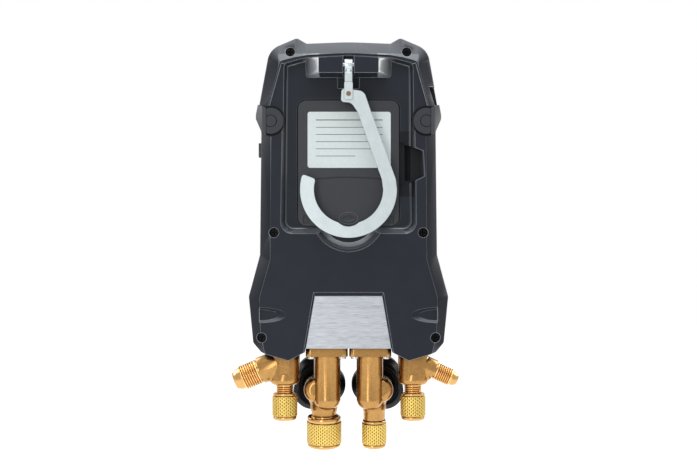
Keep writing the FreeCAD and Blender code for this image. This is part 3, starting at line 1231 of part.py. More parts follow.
def parking_stub(side):
    """A solid flare stub on which a hose is parked."""
    spec = STUBS[side]
    r = spec["size"]["thread_r"]
    start, along = stub_line(side)
    collar = spec["collar"]
    thread_end = collar + spec["thread"]
    tip = thread_end + spec["nose"]
    profile = [
        (0, collar - 2 * STUB_STEP), (r - STUB_STEP, collar - 2 * STUB_STEP), (r - STUB_STEP, collar),
        (r, collar), (r, thread_end),
        (r - 1.5 * STUB_STEP, thread_end + STUB_STEP), (r - 2 * STUB_STEP, tip - 4 * STUB_STEP),
        (r - 4.5 * STUB_STEP, tip), (0, tip),
    ]
    return turned(profile, start, along)


def brass_bodies():
    for side in (LEFT, RIGHT):
        keep(f"valve_body_{side_of(side)}", centre_valve_body(side))
        keep(f"port_body_{side_of(side)}", outer_port_body(side))
    keep("parking_stubs", parking_stub(LEFT), parking_stub(RIGHT))


def main():
    os.makedirs(PARTS, exist_ok=True)
    keep("rear_shell", rear_shell())
    keep("front_shell", front_shell())
    display_pieces()
    front_keys()
    side_key()
    battery_pieces()
    case_screws()
    hook_pieces()
    socket_pieces()
    valve_block()
    block_fittings()
    valves()
    brass_bodies()
    ports()


main()
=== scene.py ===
"""Looks of the refrigerant manifold gauge: materials, threads, knurled caps, label and studio."""

import math

import bpy
import numpy as np
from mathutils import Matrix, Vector

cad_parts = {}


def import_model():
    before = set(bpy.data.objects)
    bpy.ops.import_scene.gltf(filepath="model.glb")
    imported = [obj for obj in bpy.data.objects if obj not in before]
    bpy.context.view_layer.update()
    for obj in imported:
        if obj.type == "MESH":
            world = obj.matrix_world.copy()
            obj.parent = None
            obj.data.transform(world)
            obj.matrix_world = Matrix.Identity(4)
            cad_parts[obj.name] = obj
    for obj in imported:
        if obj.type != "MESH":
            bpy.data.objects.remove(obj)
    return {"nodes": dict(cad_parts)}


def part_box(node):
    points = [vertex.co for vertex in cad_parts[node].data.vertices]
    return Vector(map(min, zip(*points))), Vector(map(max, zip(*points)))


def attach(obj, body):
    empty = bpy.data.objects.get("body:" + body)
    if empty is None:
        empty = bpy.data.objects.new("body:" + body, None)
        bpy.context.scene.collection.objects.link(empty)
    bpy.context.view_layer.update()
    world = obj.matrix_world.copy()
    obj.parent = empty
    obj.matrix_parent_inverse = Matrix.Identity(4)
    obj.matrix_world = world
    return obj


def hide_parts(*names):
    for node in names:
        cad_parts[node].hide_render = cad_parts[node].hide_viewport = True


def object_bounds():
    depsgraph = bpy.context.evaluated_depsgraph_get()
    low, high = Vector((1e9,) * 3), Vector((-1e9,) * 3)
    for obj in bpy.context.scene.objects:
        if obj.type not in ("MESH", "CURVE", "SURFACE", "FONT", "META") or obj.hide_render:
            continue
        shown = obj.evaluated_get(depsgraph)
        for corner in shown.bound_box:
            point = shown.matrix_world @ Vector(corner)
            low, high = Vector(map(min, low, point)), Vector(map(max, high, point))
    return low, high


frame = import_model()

CAD_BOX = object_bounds()
NODES = frame["nodes"]
MM = 0.001
INCH = 25.4
TURN = 2 * math.pi

# Camera: its place in metres and its focal length, found from the photograph
CAMERA_PLACE = (0.0, -0.850, -0.1029)
CAMERA_FOCAL_PX = 1398.0
CAMERA_CLIP = (0.01, 50.0)
IMAGE_WIDTH_PX = 697.0
SENSOR_MM = 36.0

# Light of the world and paint of the floor; rays that show them see white. The floor's sizes are in metres
WORLD_LEVEL = 0.34
WHITE = (1.0, 1.0, 1.0)
FLOOR_TONES = ((0.80, 0.80, 0.80), (0.83, 0.83, 0.83))
FLOOR_GLOW = 0.75
FLOOR_DROP = 0.12
FLOOR_NEAR = -0.55
FLOOR_REACH = 3.0

# Softboxes: place and size in metres, watts, colour. All of them point at one place on the object
SOFTBOXES = {
    "softbox_top": ((0.0, -0.15, 0.65), (1.3, 0.9), 9.5, (0.88, 0.95, 1.0)),
    "softbox_front": ((-0.27, -0.80, -0.10), (0.12, 0.7), 1.5, (1.0, 0.98, 0.95)),
    "strip_left": ((-0.42, 0.20, 0.06), (0.30, 0.20), 1.3, (0.97, 0.98, 1.0)),
    "strip_right": ((0.42, 0.20, 0.06), (0.30, 0.20), 1.5, (1.0, 0.96, 0.92)),
}
LAMP_TARGET = (0.0, 0.01, -0.1)

# From here on sizes are in millimetres. The two sizes of flare thread, and of the caps that fit them
SMALL = {"r": 5.55, "pitch": INCH / 20}
LARGE = {"r": 7.94, "pitch": INCH / 18}
SMALL_CAP = {"cap_r": 7.8, "rim": 1.9}
LARGE_CAP = {"cap_r": 10.95, "rim": 3.2}

# Ports: where the axis starts and runs, where the nipple and the cap start on it, and how long they are
LEFT_X = -39.6
RIGHT_X = 40.1
OUTER_Y = 20.0
TILT = math.radians(6.5)
DOWN = (0.0, 0.0, -1.0)
LEAN = (0.0, math.sin(TILT), -math.cos(TILT))
OUTER = {**SMALL, **SMALL_CAP, "along": DOWN, "nipple_at": 0.0, "nipple": 17.5, "cap_at": 5.0, "cap": 17.0}
PORTS = {
    "outer_left": {**OUTER, "at": (LEFT_X, OUTER_Y, -196.6)},
    "outer_right": {**OUTER, "at": (RIGHT_X, OUTER_Y, -196.6)},
    "centre_left": {**LARGE, **LARGE_CAP, "at": (-15.3, 24.5, -200.0), "along": LEAN,
                    "nipple_at": 16.6, "nipple": 15.4, "cap_at": 17.2, "cap": 19.3},
    "centre_right": {**SMALL, **SMALL_CAP, "at": (16.1, 24.5, -200.0), "along": LEAN,
                     "nipple_at": 18.8, "nipple": 13.7, "cap_at": 19.4, "cap": 17.6},
}

# Parking stubs: slope in degrees, where the forged collar ends, then the lengths of thread and nose
STUBS = {
    "left": {**LARGE, "x": LEFT_X, "angle": 22.5, "collar": 17.6, "thread": 10.4, "nose": 5.6},
    "right": {**SMALL, "x": RIGHT_X, "angle": 24.5, "collar": 15.6, "thread": 9.8, "nose": 4.8},
}
STUB_Z = -181.6

# Threads: depth, how steep the V is and how wide its crest is cut, and where the first ring lies
THREAD_DEPTH = 0.62
THREAD_STEEP = 1.25
THREAD_CREST = 1.12
THREAD_LEAD = 0.05

# Knurl: pitch along and round the cap, half sizes of a pit, its depth
KNURL_ROW = 2.05
KNURL_COLUMN = 2.76
PIT_ACROSS = 0.52
PIT_ALONG = 0.98
PIT_DEPTH = 0.36

# Profiles of turned pieces as (radius, distance) steps from a radius and a distance that the code names
STUB_NECK = [(-0.6, -1.2), (-0.6, -0.2)]
STUB_NOSE = [(-0.9, 0.35), (-1.2, 1.2), (-1.35, 2.4), (-1.9, 3.6)]
STUB_TIP = [(-2.7, -0.25), (-3.1, 0.0)]
CAP_MOUTH = [(-0.35, 0.0), (0.0, 0.3)]
CAP_STEP_IN = [(0.0, -0.5), (-0.3, -0.3), (-0.3, 0.0)]
BAND_START = [(-0.3, 0.0)]
BAND_EDGE = [(0.0, 0.25)]
BAND_END = [(0.0, -0.25), (-0.3, 0.0)]
CAP_STEP_OUT = [(-0.3, 0.0), (-0.3, 0.2), (0.0, 0.45)]
CAP_FOOT = [(0.0, -1.2), (-0.4, -0.5), (-1.6, 0.0)]
BAND_MARGIN = 0.35
CAP_RIM_STEP = 0.5
CAP_END_RIM = 2.8
CAP_END_WALL = 2.4
CAP_PLAY = 0.1
NIPPLE_NOSE = 2.6
NIPPLE_TAPER = 2.0
PASSAGE_R = 2.4
PASSAGE_DEPTH = 6.0
AXIS_R = 0.01

# Fineness of the turned meshes: points round a piece, rings in a pitch, points round a pit, ring spacing
STUB_AROUND, STUB_RINGS = 128, 16
NIPPLE_AROUND, NIPPLE_RINGS = 96, 12
PIT_POINTS = 10
BAND_SPACING = 0.2
SMOOTH_ANGLE = math.radians(58)

# Softened edges of the CAD meshes: nodes and widths, and the limits of the three modifiers
SOFT_EDGES = {
    "rear_shell": 0.25, "front_shell": 0.6, "hook": 0.5, "hook_knuckle": 0.3, "battery_cover": 0.35,
    "valve_block": 0.15, "side_key": 0.5, "display_lens": 0.2, "sight_glass_ring": 0.2,
    "socket_flap_left": 0.35, "socket_flap_right": 0.35, "socket_cover_anchors": 0.3,
    "valve_body_left": 0.5, "valve_body_right": 0.5, "port_body_left": 0.4, "port_body_right": 0.4,
    "front_key_1": 0.5, "front_key_2": 0.5, "front_key_3": 0.5, "front_key_4": 0.5,
    "knob_outer_left": 0.5, "knob_outer_right": 0.5, "knob_centre_left": 0.5, "knob_centre_right": 0.5,
}
WELD_DISTANCE = 0.002
FLAT_ANGLE = math.radians(0.5)
SHARP_ANGLE = math.radians(32)
BEVEL_STEPS = 2

# Zones of the housing and the cover with a finish, painted shade or a painted highlight of their own, as two
# opposite corners
SMOOTH_ZONE = ((-43.0, -6.0, -113.2), (43.0, 12.0, 7.4))
POCKET_ZONE = ((27.0, 4.5, -80.0), (44.5, 20.0, -40.0))
FACET_ZONE = ((-28.0, -6.0, -7.2), (28.0, 8.3, 7.4))
DIMPLE_ZONE = ((-9.0, 6.0, -97.0), (9.0, 20.0, -84.0))
COVER_ZONE = ((-33.5, 7.2, -100.0), (33.5, 20.0, -18.5))
# Between these distances from the middle the painted highlight on the bracket's ends fades
FACET_SPAN = (17.8, 25.5)
# Painted shadow as a dark ring round each strap anchor: its centre, its radius and how deep it reaches
ANCHOR_X = 47.6
ANCHOR_Z = -33.8
ANCHOR_RING = 9.3
ANCHOR_DEEP = 18.0

# Housing and cover: colours, and values for the grained and for the smooth finish
GRAIN_MM = 0.45
GRAIN_DEPTH = 0.03
HOUSING_COLOUR = (0.019, 0.022, 0.029)
HOUSING_ROUGHNESS = (0.50, 0.28)
HOUSING_SPECULAR = (0.14, 1.0)
HOUSING_RELIEF = (0.35, 0.05)
# How much of that finish upward faces get, the upward parts of the normal at which it starts and is full, and
# the parts along Y at which a face starts and ends to slope away from the back
TOP_GLOSS = 0.55
UPWARD = (0.15, 0.45)
SLOPE_COSINES = (0.97, 0.90)
# Painted shade: factors on the housing's colour for flanks, crevices, gaps and the grip pocket, and the share
# and the width with which flanks and crevices take theirs
FLANK_PAINTED_SHADE, FLANK_PAINTED_SHARE = 0.45, 0.5
CREVICE_PAINTED_SHADE, CREVICE_PAINTED_MM = 0.12, 2.2
GAP_PAINTED_SHADE = 0.06
POCKET_PAINTED_SHADE = 0.40
# Painted highlight on the bracket's slanted ends
FACET_HIGHLIGHT_COLOUR = (0.42, 0.43, 0.44)
COVER_COLOUR = (0.023, 0.025, 0.030)
# Painted highlight along the edges of the cover's thumb dimple
DIMPLE_HIGHLIGHT_COLOUR = (0.16, 0.17, 0.18)
# Pale lines painted as highlights on the housing's edges: width, cosines of the turn that starts and fills
# them, share, colour
HOUSING_EDGE_HIGHLIGHTS = [(1.1, 0.99, 0.80, 0.60, (0.12, 0.13, 0.15)), (0.5, 0.997, 0.94, 0.90, (0.34, 0.36, 0.40))]

# Label on the battery cover: left, right, bottom and top, its corners, its place, how thick it and ink are
LABEL = (-25.1, 25.9, -62.3, -27.9)
LABEL_CORNER = 1.5
CORNER_STEPS = 6
LABEL_Y = 8.0
LABEL_THICK = 0.12
INK_THICK = 0.02
# Its ruled lines: bottom, thickness, left, right
RULES = [(-33.2, 0.55, -20.0, 21.0), (-37.6, 0.35, -20.0, 21.0), (-42.0, 0.35, -20.0, 21.0),
         (-46.4, 0.35, -20.0, 21.0), (-50.8, 0.35, -20.0, 21.0), (-55.2, 0.35, -20.0, 4.0)]

# Display: border of its window, a distance that no piece reaches, size of a cell of its liquid crystal
LENS_BORDER = 1.5
FAR = 1000.0
CELL_MM = 0.5
# Circuit board: pattern steps in a metre, and the part of a step that its tracks take
BOARD_SCALE = 180.0
TRACK_SHARE = 0.03

# Shader nodes: rays that feel for edges and crevices, and the roughness of all noise
FEELER_SAMPLES = 8
NOISE_ROUGHNESS = 0.6
# Brushed metal: size across the scratches, and how far they are drawn out along X
FINE_SCRATCH = (0.24, 0.035)
BROAD_SCRATCH = (0.8, 0.02)


def add(tree, kind, inputs=(), **settings):
    """A new shader node with its settings, and its inputs linked or set."""
    node = tree.nodes.new(kind)
    for key, value in settings.items():
        setattr(node, key, value)
    for key, value in dict(inputs).items():
        if isinstance(value, bpy.types.NodeSocket):
            tree.links.new(value, node.inputs[key])
        else:
            node.inputs[key].default_value = value
    return node


def blank(name, **sockets):
    """A material with its principled shader's own sockets set, their names written with underscores."""
    material = bpy.data.materials.new(name)
    material.use_nodes = True
    tree = material.node_tree
    shader = tree.nodes["Principled BSDF"]
    for key, value in sockets.items():
        shader.inputs[key.replace("_", " ")].default_value = value
    return material, tree, shader


def connect(tree, shader, **sockets):
    """Links what varies over the surface to the shader's sockets."""
    for key, value in sockets.items():
        tree.links.new(value, shader.inputs[key.replace("_", " ")])


def rgba(colour):
    """A colour with full alpha."""
    return (*colour, 1.0)


def shade(colour, factor):
    """A colour made darker or paler, channel by channel."""
    return tuple(min(1.0, part * factor) for part in colour)


def mix(tree, amount, first, second):
    """A colour between two others, each of them a socket or red, green and blue."""
    node = add(tree, "ShaderNodeMix", {0: amount}, data_type="RGBA")
    for index, colour in ((6, first), (7, second)):
        if isinstance(colour, bpy.types.NodeSocket):
            tree.links.new(colour, node.inputs[index])
        else:
            node.inputs[index].default_value = rgba(colour)
    return node.outputs[2]


def calculate(tree, operation, *values):
    """The result of one step of arithmetic."""
    return add(tree, "ShaderNodeMath", dict(enumerate(values)), operation=operation).outputs["Value"]


def multiply(tree, first, second):
    """The product of two values: where both are masks, the part that they share."""
    return calculate(tree, "MULTIPLY", first, second)


def remap(tree, value, low, high, to_low=0.0, to_high=1.0):
    """A value moved from one range to another, and held there."""
    return add(tree, "ShaderNodeMapRange", {"Value": value, "From Min": low, "From Max": high,
                                            "To Min": to_low, "To Max": to_high}).outputs["Result"]


def object_place(tree, stretch=(1, 1, 1)):
    """Coordinates in metres on the piece, where a pattern is drawn out along an axis of stretch below 1."""
    place = add(tree, "ShaderNodeTexCoord").outputs["Object"]
    return add(tree, "ShaderNodeMapping", {"Vector": place, "Scale": stretch}).outputs["Vector"]


def object_axes(tree, output="Object"):
    """The three parts of a place or a normal on the piece."""
    place = add(tree, "ShaderNodeTexCoord").outputs[output]
    return add(tree, "ShaderNodeSeparateXYZ", {"Vector": place}).outputs


def noise(tree, size_mm, detail=3.0, stretch=(1, 1, 1)):
    """Noise whose grains are about size_mm across, from 0 to 1."""
    settings = {"Vector": object_place(tree, stretch), "Scale": 1 / (size_mm * MM), "Detail": detail,
                "Roughness": NOISE_ROUGHNESS}
    return add(tree, "ShaderNodeTexNoise", settings).outputs["Fac"]


def mottle(tree, size_mm, first, second, spread=0.2, detail=3.0):
    """Two colours in soft patches of about size_mm, which meet more sharply where spread is small."""
    return mix(tree, remap(tree, noise(tree, size_mm, detail), 0.5 - spread, 0.5 + spread), first, second)


def bump(tree, height, distance_mm, strength):
    """Small relief on the surface."""
    return add(tree, "ShaderNodeBump", {"Height": height, "Distance": distance_mm * MM,
                                        "Strength": strength}).outputs["Normal"]


def moulded_grain(tree, grain_mm, strength):
    """The relief of moulded plastic."""
    return bump(tree, noise(tree, grain_mm, 2.0), GRAIN_DEPTH, strength)


def edge_mask(tree, width_mm, first=0.995, full=0.93):
    """1 along outer and inner edges, 0 on the surfaces between them. The limits are cosines of the turn."""
    bevelled = add(tree, "ShaderNodeBevel", {"Radius": width_mm * MM}, samples=FEELER_SAMPLES)
    flat = add(tree, "ShaderNodeNewGeometry").outputs["Normal"]
    turn = add(tree, "ShaderNodeVectorMath", {0: bevelled.outputs["Normal"], 1: flat},
               operation="DOT_PRODUCT")
    return remap(tree, turn.outputs["Value"], first, full)


def openness(tree, distance_mm, low=0.25, high=0.8):
    """0 in crevices narrower than about a distance, 1 in the open: the mask by which shade is painted into
    crevices.
    """
    sky = add(tree, "ShaderNodeAmbientOcclusion", {"Distance": distance_mm * MM}, samples=FEELER_SAMPLES)
    return remap(tree, sky.outputs["AO"], low, high)


def slope(tree):
    """How far a face turns away from the plane of the back: 0 on it, 1 across it."""
    return remap(tree, calculate(tree, "ABSOLUTE", object_axes(tree, "Normal")["Y"]), *SLOPE_COSINES)


def inside_box(tree, low, high):
    """1 inside an upright box given by two corners in millimetres, 0 outside."""
    axes = object_axes(tree)
    mask = None
    for axis, near, far in zip("XYZ", low, high):
        for operation, limit in (("GREATER_THAN", near), ("LESS_THAN", far)):
            test = calculate(tree, operation, axes[axis], limit * MM)
            mask = test if mask is None else multiply(tree, mask, test)
    return mask


def plastic_colour(tree, colour, grain_mm):
    """The uneven colour of moulded plastic: broad patches under a fine speckle."""
    base = mottle(tree, 14.0, shade(colour, 0.94), shade(colour, 1.06), spread=0.15)
    speck = remap(tree, noise(tree, grain_mm), 0.4, 0.75, 0.0, 0.25)
    return mix(tree, speck, base, shade(colour, 1.35))


def plastic(name, colour, rough=0.5, painted_edge=2.6, painted_edge_mm=0.3, grain_mm=GRAIN_MM, relief=0.35, shaded_crevice_mm=1.6,
            **sockets):
    """Moulded plastic with a fine grain, a slight unevenness, painted light along the edges, paler or darker
    by painted_edge, and painted shade in crevices.
    """
    material, tree, shader = blank(name, Roughness=rough, **sockets)
    base = plastic_colour(tree, colour, grain_mm)
    # Painted shade in crevices
    base = mix(tree, openness(tree, shaded_crevice_mm), shade(colour, 0.15), base)
    # Painted light along the edges: a highlight where painted_edge is above 1, shade where it is below
    base = mix(tree, edge_mask(tree, painted_edge_mm), base, shade(colour, painted_edge))
    connect(tree, shader, Base_Color=base, Normal=moulded_grain(tree, grain_mm, relief))
    return material


def housing_plastic():
    """Grained dark plastic with painted highlights on its edges, and smooth walls round recess, scoop and
    bracket.
    """
    material, tree, shader = blank("housing_plastic")
    upward = remap(tree, object_axes(tree, "Normal")["Z"], *UPWARD)
    smooth = multiply(tree, inside_box(tree, *SMOOTH_ZONE), slope(tree))
    polished = calculate(tree, "MAXIMUM", smooth, upward)
    gloss = calculate(tree, "MAXIMUM", smooth, multiply(tree, upward, TOP_GLOSS))
    connect(tree, shader, Base_Color=housing_colour(tree, smooth, polished),
            Roughness=remap(tree, gloss, 0, 1, *HOUSING_ROUGHNESS),
            Specular_IOR_Level=remap(tree, gloss, 0, 1, *HOUSING_SPECULAR),
            Normal=moulded_grain(tree, GRAIN_MM, remap(tree, polished, 0, 1, *HOUSING_RELIEF)))
    return material


def housing_colour(tree, smooth, polished):
    """Painted shade on grained flanks, in crevices, gaps and the grip pocket, and painted highlights on edges
    and bracket ends.
    """
    # Painted shade on sloping flanks that are neither smooth nor facing upward
    painted_flank_shade = multiply(tree, calculate(tree, "SUBTRACT", 1.0, polished), slope(tree))
    base = plastic_colour(tree, HOUSING_COLOUR, GRAIN_MM)
    base = mix(tree, multiply(tree, painted_flank_shade, FLANK_PAINTED_SHARE), base, shade(HOUSING_COLOUR, FLANK_PAINTED_SHADE))
    # Painted shade in crevices
    base = mix(tree, openness(tree, CREVICE_PAINTED_MM), shade(HOUSING_COLOUR, CREVICE_PAINTED_SHADE), base)
    # Painted highlights along the edges
    for width, first, full, share, colour in HOUSING_EDGE_HIGHLIGHTS:
        base = mix(tree, multiply(tree, edge_mask(tree, width, first, full), share), base, colour)
    # Painted highlight on the bracket's slanted ends
    base = mix(tree, bracket_end_highlight(tree, smooth), base, FACET_HIGHLIGHT_COLOUR)
    # Painted shadow in the gap round the battery cover and under the strap anchors
    cover_gap_shadow = multiply(tree, inside_box(tree, *COVER_ZONE), edge_mask(tree, 0.5))
    for shadow in (cover_gap_shadow, anchor_shadow(tree)):
        base = mix(tree, shadow, base, shade(HOUSING_COLOUR, GAP_PAINTED_SHADE))
    # Painted shade in the grip pocket
    return mix(tree, inside_box(tree, *POCKET_ZONE), base, shade(HOUSING_COLOUR, POCKET_PAINTED_SHADE))


def bracket_end_highlight(tree, smooth):
    """1 at the top of the bracket's slanted ends, fading towards their feet: where a highlight is painted."""
    start, end = (distance * MM for distance in FACET_SPAN)
    aside = calculate(tree, "ABSOLUTE", object_axes(tree)["X"])
    fading = multiply(tree, calculate(tree, "GREATER_THAN", aside, start),
                      remap(tree, aside, start, end, 1.0, 0.15))
    return multiply(tree, multiply(tree, inside_box(tree, *FACET_ZONE), smooth), fading)


def anchor_shadow(tree):
    """1 in a disc under each strap anchor, of which a narrow ring shows."""
    axes = object_axes(tree)
    aside = calculate(tree, "SUBTRACT", calculate(tree, "ABSOLUTE", axes["X"]), ANCHOR_X * MM)
    above = calculate(tree, "SUBTRACT", axes["Z"], ANCHOR_Z * MM)
    flat = add(tree, "ShaderNodeCombineXYZ", {"X": aside, "Y": above}).outputs["Vector"]
    radius = add(tree, "ShaderNodeVectorMath", {0: flat}, operation="LENGTH").outputs["Value"]
    return multiply(tree, calculate(tree, "LESS_THAN", radius, ANCHOR_RING * MM),
                    calculate(tree, "LESS_THAN", axes["Y"], ANCHOR_DEEP * MM))


def cover_plastic():
    """The battery cover: painted shadow along its outer gap, painted highlight along the edges of its thumb
    dimple.
    """
    material, tree, shader = blank("cover_plastic", Roughness=0.42, Specular_IOR_Level=0.4)
    base = plastic_colour(tree, COVER_COLOUR, GRAIN_MM)
    # Painted shadow along the outer gap of the cover
    base = mix(tree, edge_mask(tree, 0.4), base, shade(COVER_COLOUR, 0.10))
    # Painted highlight along the edges of the thumb dimple
    dimple = multiply(tree, inside_box(tree, *DIMPLE_ZONE), edge_mask(tree, 0.5, 0.998, 0.95))
    base = mix(tree, multiply(tree, dimple, 0.8), base, DIMPLE_HIGHLIGHT_COLOUR)
    connect(tree, shader, Base_Color=base, Normal=moulded_grain(tree, GRAIN_MM, 0.3))
    return material


def metal_colour(tree, colour, grain, tint, patch_mm):
    """The uneven colour of a metal surface: fine grain over broad patches, between two factors."""
    both = calculate(tree, "ADD", grain, noise(tree, patch_mm))
    return mix(tree, remap(tree, both, 0.75, 1.25), shade(colour, tint[0]), shade(colour, tint[1]))


def metal(name, colour, rough, grain_mm, stretch=(1, 1, 1), relief=0.2, tint=(0.86, 1.1), spread=0.06,
          patch_mm=6.0, depth_mm=0.03, crevice_shading=(1.2, 0.5), painted_edge=None):
    """Metal with grain or brushing. crevice_shading gives the width of crevices and how dark the painted
    shade in them is, painted_edge the painted shade along the edges where it isn't that of the surface."""
    material, tree, shader = blank(name, Metallic=1.0)
    grain = noise(tree, grain_mm, 4.0, stretch)
    base = metal_colour(tree, colour, grain, tint, patch_mm)
    # Painted shade in crevices
    width, share = crevice_shading
    base = mix(tree, openness(tree, width, 0.15, 0.85), shade(colour, share), base)
    # Painted shade along the edges, where painted_edge is given
    if painted_edge:
        base = mix(tree, edge_mask(tree, 0.7, 0.99, 0.75), base, shade(colour, painted_edge))
    connect(tree, shader, Base_Color=base, Normal=bump(tree, grain, depth_mm, relief),
            Roughness=remap(tree, grain, 0.3, 0.7, rough - spread, rough + spread))
    return material


def brushed(name, colour, rough):
    """Flat metal brushed along X: short fine scratches over broader faint ones."""
    material, tree, shader = blank(name, Metallic=1.0)
    fine = noise(tree, FINE_SCRATCH[0], 3.0, (FINE_SCRATCH[1], 1, 1))
    broad = remap(tree, noise(tree, BROAD_SCRATCH[0], 2.0, (BROAD_SCRATCH[1], 1, 1)), 0, 1, 0.35, 0.65)
    lines = remap(tree, calculate(tree, "ADD", fine, broad), 0.80, 1.20)
    connect(tree, shader, Base_Color=mix(tree, lines, shade(colour, 0.66), shade(colour, 1.20)),
            Roughness=remap(tree, fine, 0.3, 0.7, rough - 0.08, rough + 0.10),
            Normal=bump(tree, fine, 0.02, 0.25))
    return material


def grooved(name, colour, groove_shade_shares, rough):
    """Turned metal, down to a share of each channel as painted shade in the grooves that its mesh holds as an
    attribute.
    """
    material, tree, shader = blank(name, Metallic=1.0, Roughness=rough)
    depth = add(tree, "ShaderNodeAttribute", attribute_name="groove").outputs["Fac"]
    base = metal_colour(tree, colour, noise(tree, 0.3, 4.0), (0.92, 1.08), 6.0)
    # Painted shade in the grooves
    inside = [part * share for part, share in zip(colour, groove_shade_shares)]
    connect(tree, shader, Base_Color=mix(tree, remap(tree, depth, 0.15, 0.75), base, inside))
    return material


def display_lens():
    """A clear window with a dark printed border, and a hard gloss."""
    material, tree, shader = blank("display_lens", Roughness=0.08, IOR=1.49)
    low, high = (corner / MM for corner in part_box("display_module"))
    window = inside_box(tree, (low.x + LENS_BORDER, -FAR, low.z + LENS_BORDER),
                        (high.x - LENS_BORDER, FAR, high.z - LENS_BORDER))
    border = mottle(tree, 0.2, (0.010, 0.011, 0.012), (0.014, 0.015, 0.016))
    connect(tree, shader, Base_Color=mix(tree, window, border, (0.9, 0.92, 0.92)),
            Transmission_Weight=window)
    return material


def display_glass():
    """Grey-green liquid crystal with a very fine cell pattern."""
    material, tree, shader = blank("display_glass", Roughness=0.35)
    cells = add(tree, "ShaderNodeTexChecker", {
        "Vector": object_place(tree), "Scale": 1 / (CELL_MM * MM),
        "Color1": rgba((0.36, 0.40, 0.36)), "Color2": rgba((0.33, 0.37, 0.335))}).outputs["Color"]
    patches = remap(tree, noise(tree, 25.0), 0.3, 0.7, 0.0, 0.3)
    connect(tree, shader, Base_Color=mix(tree, patches, cells, (0.42, 0.46, 0.42)))
    return material


def circuit_board():
    """Green solder mask with copper tracks under it."""
    material, tree, shader = blank("circuit_board", Roughness=0.35)
    tracks = add(tree, "ShaderNodeTexBrick", {
        "Vector": object_place(tree), "Scale": BOARD_SCALE, "Mortar Size": TRACK_SHARE,
        "Color1": rgba((0.01, 0.12, 0.05)), "Color2": rgba((0.012, 0.14, 0.06)),
        "Mortar": rgba((0.03, 0.22, 0.09))}).outputs["Color"]
    connect(tree, shader, Base_Color=tracks)
    return material


def clear_glass():
    """Clear glass with a trace of green."""
    material, tree, shader = blank("clear_glass", Roughness=0.04, IOR=1.5, Transmission_Weight=1.0)
    connect(tree, shader, Base_Color=mottle(tree, 3.0, (0.9, 0.95, 0.94), (0.94, 0.97, 0.96), spread=0.1))
    return material


def label_film():
    """Pale matt film, slightly mottled."""
    material, tree, shader = blank("label_film", Roughness=0.42)
    connect(tree, shader, Base_Color=mottle(tree, 1.2, (0.72, 0.78, 0.77), (0.78, 0.84, 0.83), detail=4.0),
            Normal=bump(tree, noise(tree, 0.6), 0.01, 0.15))
    return material


HOUSING = housing_plastic()
COVER = cover_plastic()
# A painted_edge factor above 1 paints highlights along the edges, one below 1 paints shade there;
# shaded_crevice_mm and crevice_shading give painted shade in crevices
FRONT = plastic("front_plastic", (0.026, 0.029, 0.036), painted_edge=4.0, Specular_IOR_Level=0.3)
KNOB = plastic("knob_plastic", (0.005, 0.005, 0.0055), 0.45, painted_edge=3.0, shaded_crevice_mm=8.0,
               Specular_IOR_Level=0.10)
INNER = plastic("inner_plastic", (0.05, 0.05, 0.054), 0.55)
STRAP = plastic("strap_plastic", (0.028, 0.031, 0.038), painted_edge=0.15, painted_edge_mm=0.45, Specular_IOR_Level=0.3)
RUBBER = plastic("soft_rubber", (0.034, 0.037, 0.044), 0.66, painted_edge=3.5, grain_mm=0.3, relief=0.4)
KEY_RUBBER = plastic("key_rubber", (0.10, 0.105, 0.115), 0.65, painted_edge=1.6, grain_mm=0.3)
SEAL = plastic("seal_rubber", (0.012, 0.012, 0.012), 0.6, painted_edge=1.5)
CELL_WRAP = plastic("cell_wrap", (0.03, 0.03, 0.034), 0.3, painted_edge=1.2, relief=0.1)
HOOK_METAL = metal("hook_metal", (0.49, 0.545, 0.565), 0.35, 0.35, stretch=(1, 1, 0.15), relief=0.08,
                   tint=(0.95, 1.04), spread=0.05, painted_edge=0.62)
RIVET_METAL = metal("rivet_metal", (0.22, 0.14, 0.08), 0.36, 0.4)
BLOCK_METAL = brushed("brushed_aluminium", (0.41, 0.43, 0.46), 0.40)
STEEL = metal("screw_steel", (0.50, 0.50, 0.51), 0.22, 0.3, relief=0.12, crevice_shading=(0.8, 0.15))
BLACK_STEEL = metal("black_steel", (0.012, 0.012, 0.013), 0.30, 0.3, crevice_shading=(1.6, 0.05))
FORGED = metal("forged_brass", (0.375, 0.203, 0.067), 0.23, 0.45, relief=0.30, tint=(0.84, 1.14),
               spread=0.05, patch_mm=1.5, depth_mm=0.035, crevice_shading=(9.0, 0.20))
TURNED = metal("turned_brass", (0.54, 0.315, 0.115), 0.22, 0.30, relief=0.10, tint=(0.92, 1.06),
               spread=0.05, crevice_shading=(1.3, 0.12))
# Threads and knurl pits get painted shade in their grooves
THREADED = grooved("threaded_brass", (0.98, 0.65, 0.28), (0.40, 0.27, 0.16), 0.22)
KNURLED = grooved("knurled_brass", (0.63, 0.44, 0.12), (0.24, 0.20, 0.10), 0.26)
NODE_LOOKS = {
    HOUSING: ["rear_shell"],
    FRONT: ["front_shell"],
    COVER: ["battery_cover"],
    INNER: ["battery_tray", "key_switches", "probe_sockets"],
    STRAP: ["socket_cover_anchors"],
    RUBBER: ["socket_flap_left", "socket_flap_right", "side_key"],
    KEY_RUBBER: ["front_key_1", "front_key_2", "front_key_3", "front_key_4"],
    CELL_WRAP: ["battery_cells"],
    STEEL: ["battery_contacts", "flange_screws", "pressure_sensors", "hook_pin"],
    BLACK_STEEL: ["case_screws"],
    HOOK_METAL: ["hook", "hook_knuckle"],
    RIVET_METAL: ["hook_rivet"],
    BLOCK_METAL: ["valve_block"],
    FORGED: ["valve_body_left", "valve_body_right", "port_body_left", "port_body_right"],
    TURNED: ["valve_bonnets", "sight_glass_ring", "parking_stubs", "port_nipples"],
    display_lens(): ["display_lens"],
    display_glass(): ["display_module"],
    circuit_board(): ["main_board"],
    clear_glass(): ["sight_glass"],
}
